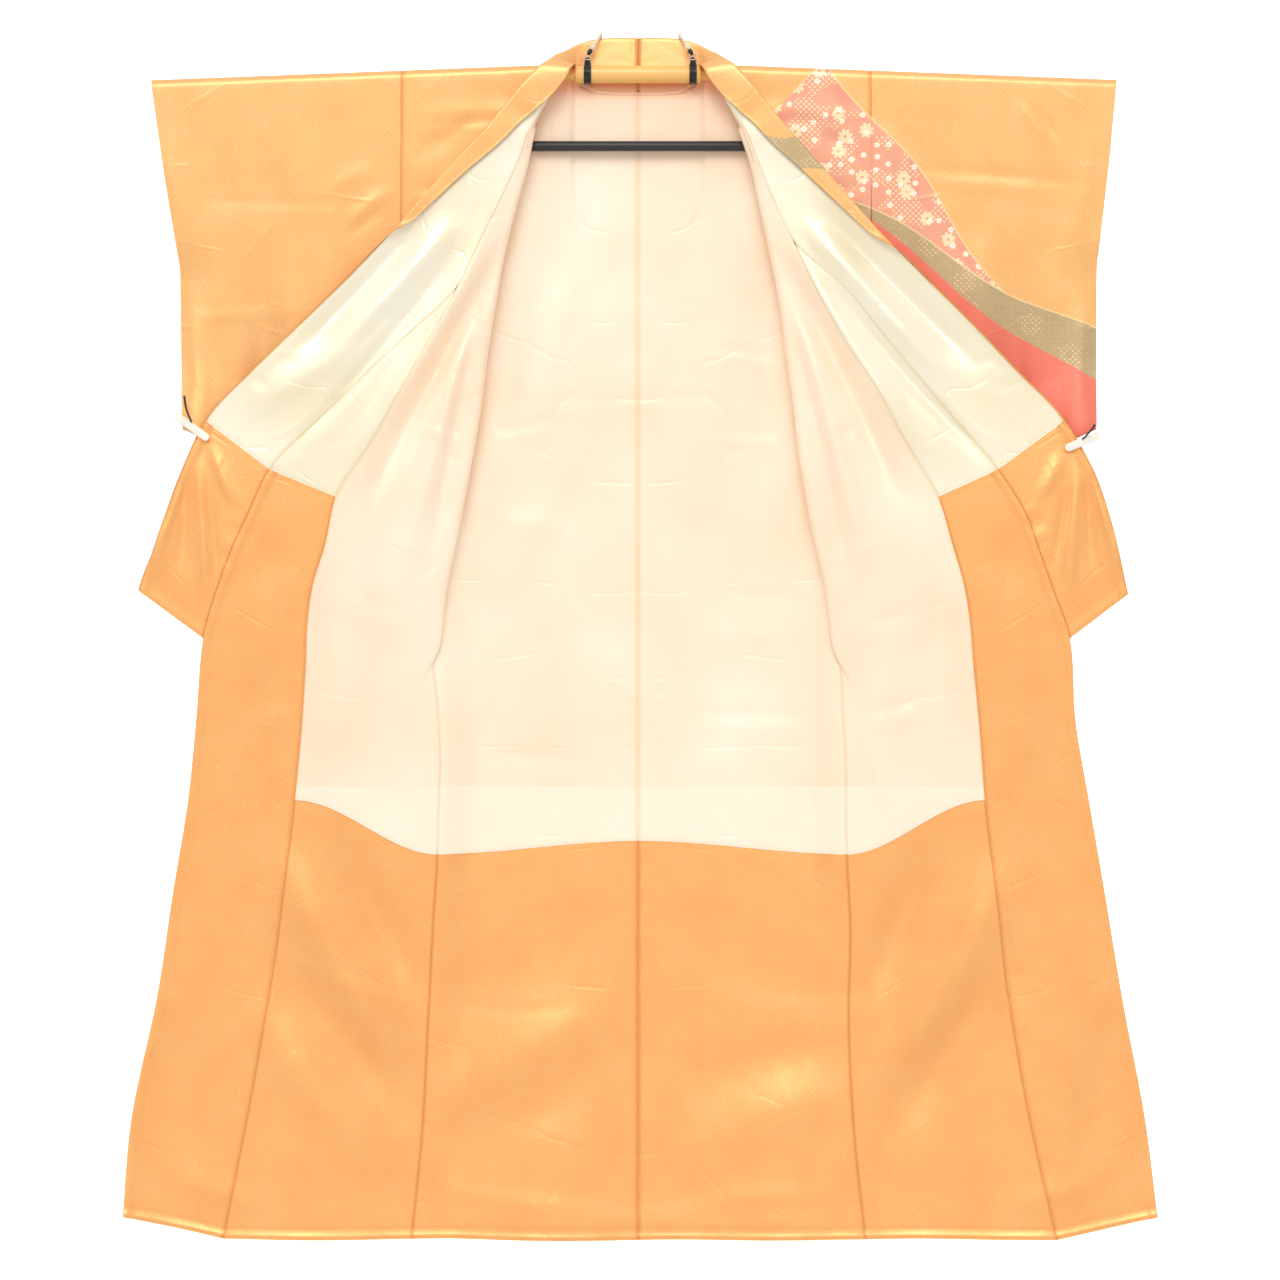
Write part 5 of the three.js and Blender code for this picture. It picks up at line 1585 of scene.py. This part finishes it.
# ---- what holds it ---------------------------------------------------------------------------
@dataclass
class Hanger:
    """Rod, rings, swivels, sash bar and its links.

    Attributes:
        wardrobe: the finishes.
    """

    wardrobe: Wardrobe
    tube_radius: float = 12.0
    tube_half: float = 86.0
    arm_radius: float = 8.5
    arm_end: float = 645.0
    bar_z: float = -98.0
    bar_x: float = 1.5
    bar_half: float = 158.0
    bar_radius: float = 7.0
    link_x: float = 152.0

    def rod(self) -> None:
        """Thick middle tube and thinner arms that slope down inside the sleeves."""
        r, a, half, end = self.tube_radius, self.arm_radius, self.tube_half, self.arm_end
        obj = lathe("rod_and_arms", (
            (0, r), (half - 1.4, r), (half - 0.4, r - 0.4), (half, r - 1.4), (half + 0.2, a + 0.4),
            (half + 0.8, a), (ARM_START, a), (400, a), (end - 1.2, a), (end - 0.3, a - 0.4), (end, a - 1.2),
        ), lambda x: (x, 0.0, float(arm_z(x))), 48)
        dress(obj, self.wardrobe.rod, "rod_tube", "hanger_rod")

    def bar(self) -> None:
        """Sash bar with rounded ends."""
        r, half = self.bar_radius, self.bar_half
        side = ((0.0, r), (half - 3.0, r), (half - 1.2, r - 0.5), (half - 0.3, r - 1.6), (half, r - 3.0))
        obj = lathe("sash_bar_rod", side, lambda x: (x + self.bar_x, 0.0, self.bar_z))
        dress(obj, self.wardrobe.black, "black_fitting", "sash_bar")

    def link(self, side: SideName) -> None:
        """Flat link between an arm and the sash bar, waisted in its middle."""
        top = float(arm_z(self.link_x)) - self.arm_radius - 0.3
        low = self.bar_z + self.bar_radius + 0.3
        a, t = circle(24), np.linspace(0, 1, 13)[:, None]
        wide = 3.0 - 0.8 * np.sin(math.pi * t)
        rings = np.stack(np.broadcast_arrays(
            wide * squared(np.cos(a), 0.5) + side.value * self.link_x, 2.0 * squared(np.sin(a), 0.5),
            mix(low, top, t)), axis=2)
        obj = skin(f"bar_link_{side.word}", rings)
        dress(obj, self.wardrobe.black, "black_fitting", f"sash_link_{side.word}")

    def ring(self, side: SideName, x: float) -> None:
        """Ring round the rod, with a groove and softened edges."""
        half = ((5, 12.3), (5, 13.2), (4.3, 13.9), (1.6, 14.0), (1.1, 13.4))
        a = circle(48)
        rings = np.array([np.stack((0 * a + x + dx, r * np.cos(a), r * np.sin(a)), axis=1)
                          for dx, r in [(-dx, r) for dx, r in half] + list(half[::-1])])
        faces = quads(len(rings), len(a), True, True)[:, ::-1]
        obj = mesh_object(f"rod_ring_{side.word}", rings.reshape(-1, 3) * MM, faces)
        dress(obj, self.wardrobe.gloss_black, "black_fitting", f"ring_{side.word}")

    def hook(self, side: SideName, x: float) -> None:
        """Lug, steel eye, swivel, crimp and looped cord from a ring over the collar's top edge."""
        lean = -18.0 * side.value
        word, w = side.word, self.wardrobe
        a = circle(24)
        lug = [np.stack((x + half * np.cos(a), 1.7 * squared(np.sin(a), 0.6), 0 * a + z), axis=1)
               for z, half in ((13.2, 4.2), (14.5, 4.4), (17.0, 4.0), (20.0, 3.4), (22.4, 2.6), (23.0, 1.8))]
        dress(skin(f"ring_lug_{word}", np.array(lug)), w.gloss_black, "black_fitting")
        eye = [(x + 0.04 * lean + 4.3 * math.cos(v), -2.2, 24.0 + 4.6 * math.sin(v))
               for v in np.linspace(0, 2 * np.pi, 33)]
        dress(tube(f"swivel_eye_{word}", eye, (0.9,) * len(eye), 12), w.steel, "black_fitting")
        for name, path, radii, sides, material, slot, nodes in (
            ("swivel_barrel", ((0.05, -1.6, 26.5), (0.14, -1.2, 29.5), (0.24, -0.8, 32.5), (0.3, -0.5, 34.4)),
             (2.2, 3.3, 3.1, 1.9), 16, w.gloss_black, "black_fitting", ()),
            ("cord_crimp", ((0.28, -0.5, 33.8), (0.36, -0.2, 36.2), (0.44, 0.3, 38.6), (0.5, 0.8, 40.6)),
             (2.8, 4.3, 4.0, 2.4), 16, w.bead, "white_cord", ()),
            ("hooked_cord", ((0.48, 0.6, 39.8), (0.7, 5, 46.5), (0.95, 12, 54.5), (1, 19, 58.0),
                             (1, 27.4, 55.6), (1, 28.6, 44)),
             (2.1, 2.0, 2.0, 2.0, 1.9, 1.8), 14, w.cord, "white_cord", (f"collar_hook_{word}",)),
        ):
            leaning = [(x + share * lean, y, z) for share, y, z in path]
            dress(tube(f"{name}_{word}", leaning, radii, sides), material, slot, *nodes)

    def build(self) -> None:
        """Builds the whole hanger."""
        self.rod()
        self.bar()
        for side, x in ((SideName.LEFT, 75.0), (SideName.RIGHT, -69.0)):
            self.link(side)
            self.ring(side, x)
            self.hook(side, x)


@dataclass
class Clip:
    """Clip of two rounded jaws that holds the collar's edge to the sleeve's corner.

    Attributes:
        side: which side of the garment.
        x: place of its open end.
        z: height of its open end.
        length: from the open end to the spring end.
        angle: slope of its length in the front view, degrees.
        lever: path of the dark release lever.
        wardrobe: the finishes.
        width: of the jaws.
        jaw: thickness of a jaw.
        front: depth of its front face.
        back: depth of its rear face.
        bend: radius of the spring end's corners.
    """

    side: SideName
    x: float
    z: float
    length: float
    angle: float
    lever: tuple[Place, ...]
    wardrobe: Wardrobe
    width: float = 11.0
    jaw: float = 2.6
    front: float = -35.0
    back: float = -5.0
    bend: float = 5.0

    def path(self) -> list[tuple[float, float]]:
        """Middle line of the U as distance along its length and depth."""
        near, far = self.front + self.jaw / 2, self.back - self.jaw / 2
        turn_u, r = self.length - self.jaw / 2 - self.bend, self.bend
        quarter = np.linspace(0, math.pi / 2, 6)
        turn = [(turn_u + r * math.sin(a), near + r - r * math.cos(a)) for a in quarter]
        turn += [(turn_u + r * math.cos(a), far - r + r * math.sin(a)) for a in quarter]
        return [(0.6, near), (4.0, near), (0.5 * self.length, near), *turn, (0.7 * self.length, far),
                (0.36 * self.length, far)]

    def build(self) -> None:
        """Builds the clip's body and its lever."""
        line = np.array(self.path())
        run = lengths(line)
        stops = (0, 8, run[-1] - 4, run[-1])
        at = np.unique(np.concatenate([np.linspace(a, b, n) for a, b, n in zip(stops, stops[1:], (9, 50, 5))]))
        u, y = columns_at(line, run, at).T
        du, dy = np.gradient(u), np.gradient(y)
        size = np.hypot(du, dy)
        nu, ny = -dy / size, du / size
        ends = np.minimum(np.minimum(at, run[-1] - at), 5.5)
        wide = self.width / 2 * np.sqrt(np.clip(1 - ((5.5 - ends) / 5.8) ** 2, 0.05, 1))
        slope = math.radians(self.angle)
        cos, sin = math.cos(slope), math.sin(slope)
        a = circle(28)
        across = wide[:, None] * squared(np.cos(a), 0.6)
        thick = self.jaw / 2 * squared(np.sin(a), 0.6)
        along, deep = u[:, None] + nu[:, None] * thick, y[:, None] + ny[:, None] * thick
        x, z = self.x + along * cos + across * sin, self.z - along * sin + across * cos
        rings = np.stack((x, deep, z), axis=2)
        word = self.side.word
        dress(skin(f"clip_body_{word}", rings), self.wardrobe.white, "white_clip", f"clip_{word}")
        lever = tube(f"clip_lever_{word}", self.lever, tuple(np.linspace(1.2, 1.6, len(self.lever))), 14)
        dress(lever, self.wardrobe.black, "black_fitting", f"clip_lever_{word}")


# ---- studio ----------------------------------------------------------------------------------
@dataclass
class Studio:
    """White sweep, soft lights and the camera.

    Attributes:
        view_mm: width of the picture at the garment.
        centre: x and z of the picture's middle.
        distance: from the camera to the garment.
    """

    view_mm: float = 1747.0
    centre: tuple[float, float] = (2.7, -772.0)
    distance: float = 5200.0

    def camera(self) -> None:
        """Long-lens camera square to the garment."""
        data = bpy.data.cameras.new("camera")
        data.sensor_width = 36.0
        data.lens = data.sensor_width * self.distance / self.view_mm
        data.clip_end = 60.0
        camera = in_scene("camera", data)
        camera.location = (self.centre[0] * MM, -self.distance * MM, self.centre[1] * MM)
        camera.rotation_euler = (math.radians(90), 0, 0)
        bpy.context.scene.camera = camera

    def sweep(self) -> None:
        """Pale floor that curves up into a back wall."""
        profile = [(-9.0, -2.0), (0.6, -2.0)]
        profile += [(0.6 + 11.4 * math.sin(a), 1.4 - 3.4 * math.cos(a))
                    for a in np.linspace(0.03, math.pi / 2, 36)]
        profile += [(12.0, 2.6)]
        shares = (-1.0, -0.3, 0.3, 1.0)
        points = np.array([[share * (9.0 if y < 0.7 else 3.6), y, z] for y, z in profile for share in shares])
        obj = mesh_object("studio_sweep", points, quads(len(profile), len(shares))[:, ::-1])
        surface = Surface("white_paper_sweep", Roughness=0.9, Base_Color=linear(0xE6E6E4),
                          Emission_Color=linear(0xFFFFFF))
        place = surface.add("TexCoord").outputs["Object"]
        height = surface.add("SeparateXYZ", Vector=place).outputs["Z"]
        glow = surface.add("MapRange", {"interpolation_type": "SMOOTHSTEP"}, Value=height, From_Min=-1.99,
                           From_Max=-1.975, To_Max=0.85)
        surface.link(glow.outputs["Result"], "Emission Strength")
        fibres = surface.add("TexNoise", Vector=place, Scale=400.0)
        bump = surface.add("Bump", Strength=0.05, Distance=0.2 * MM, Height=fibres.outputs["Fac"])
        surface.link(bump.outputs["Normal"], "Normal")
        obj.data.materials.append(surface.material)

    def light(self, name: str, height: float, turn: float, spread: float, strength: float) -> None:
        """Adds one wide soft light far from the garment.

        Args:
            name: its name.
            height: degrees above the camera's level.
            turn: degrees to the right of the camera.
            spread: width that it covers as seen from the garment, degrees.
            strength: its irradiance.
        """
        data = bpy.data.lights.new(name, "SUN")
        data.angle, data.energy = math.radians(spread), strength
        in_scene(name, data).rotation_euler = (math.radians(90 - height), 0, math.radians(turn))

    def sky(self) -> bpy.types.World:
        """White surroundings, dimmer for the cloth than for the camera and darker low down."""
        world = bpy.data.worlds.new("studio")
        world.use_nodes = True
        nodes = Nodes(world.node_tree, "Background")
        way = nodes.add("SeparateXYZ", i0=nodes.add("TexCoord").outputs["Generated"]).outputs["Z"]
        dome = nodes.add("MapRange", Value=way, From_Max=0.6, To_Min=0.37, To_Max=0.7).outputs["Result"]
        seen = nodes.add("LightPath").outputs["Is Camera Ray"]
        nodes.link(nodes.add("Math", {"operation": "MAXIMUM"}, i0=seen, i1=dome).outputs[0], "Strength")
        nodes.put(Color=linear(0xFFFFFF))
        return world

    def build(self) -> None:
        """Builds the studio."""
        self.camera()
        self.sweep()
        bpy.context.scene.view_settings.view_transform = "Standard"
        bpy.context.scene.world = self.sky()
        self.light("key", 36.0, -4.0, 30.0, 1.2)
        self.light("fill", 6.0, 4.0, 70.0, 0.35)
        self.light("left_side", 20.0, -64.0, 30.0, 0.3)
        self.light("right_side", 16.0, 66.0, 30.0, 0.2)


RIGHT_CUFF = ((12, 664), (-120, 646), (-255, 625), (-440, 622), (-485, 620), (-503, 607))
LEFT_CUFF = ((12, 652), (-93, 643), (-250, 626), (-485, 624), (-503, 611))


def main() -> None:
    """Builds every sub-assembly in order and reports each piece."""
    logging.basicConfig(level=logging.INFO, format="%(name)s %(message)s")
    Studio().build()
    w, left, right = Wardrobe(), SideName.LEFT, SideName.RIGHT
    for assembly in (
        Half(left, LEFT_SECTIONS, LEFT_FRONT_CREASES, w),
        Half(right, RIGHT_SECTIONS, RIGHT_FRONT_CREASES, w),
        Sleeve(left, 318.0, LEFT_CUFF, LEFT_SLEEVE_CREASES, w.painted, "painted_silk", w.cream),
        Sleeve(right, 323.0, RIGHT_CUFF, RIGHT_SLEEVE_CREASES, w.orange, "orange_silk", w.cream),
        Hanger(w),
        Clip(left, 579, -513, 50, -22, ((602, -37.2, -500), (614, -37.2, -488), (619, -37.2, -480)), w),
        Clip(right, -582, -500, 56, -144, ((-605, -37.2, -477), (-612, -37.2, -459), (-615, -37.2, -441)), w),
    ):
        assembly.build()


if __name__ == "__main__":
    main()
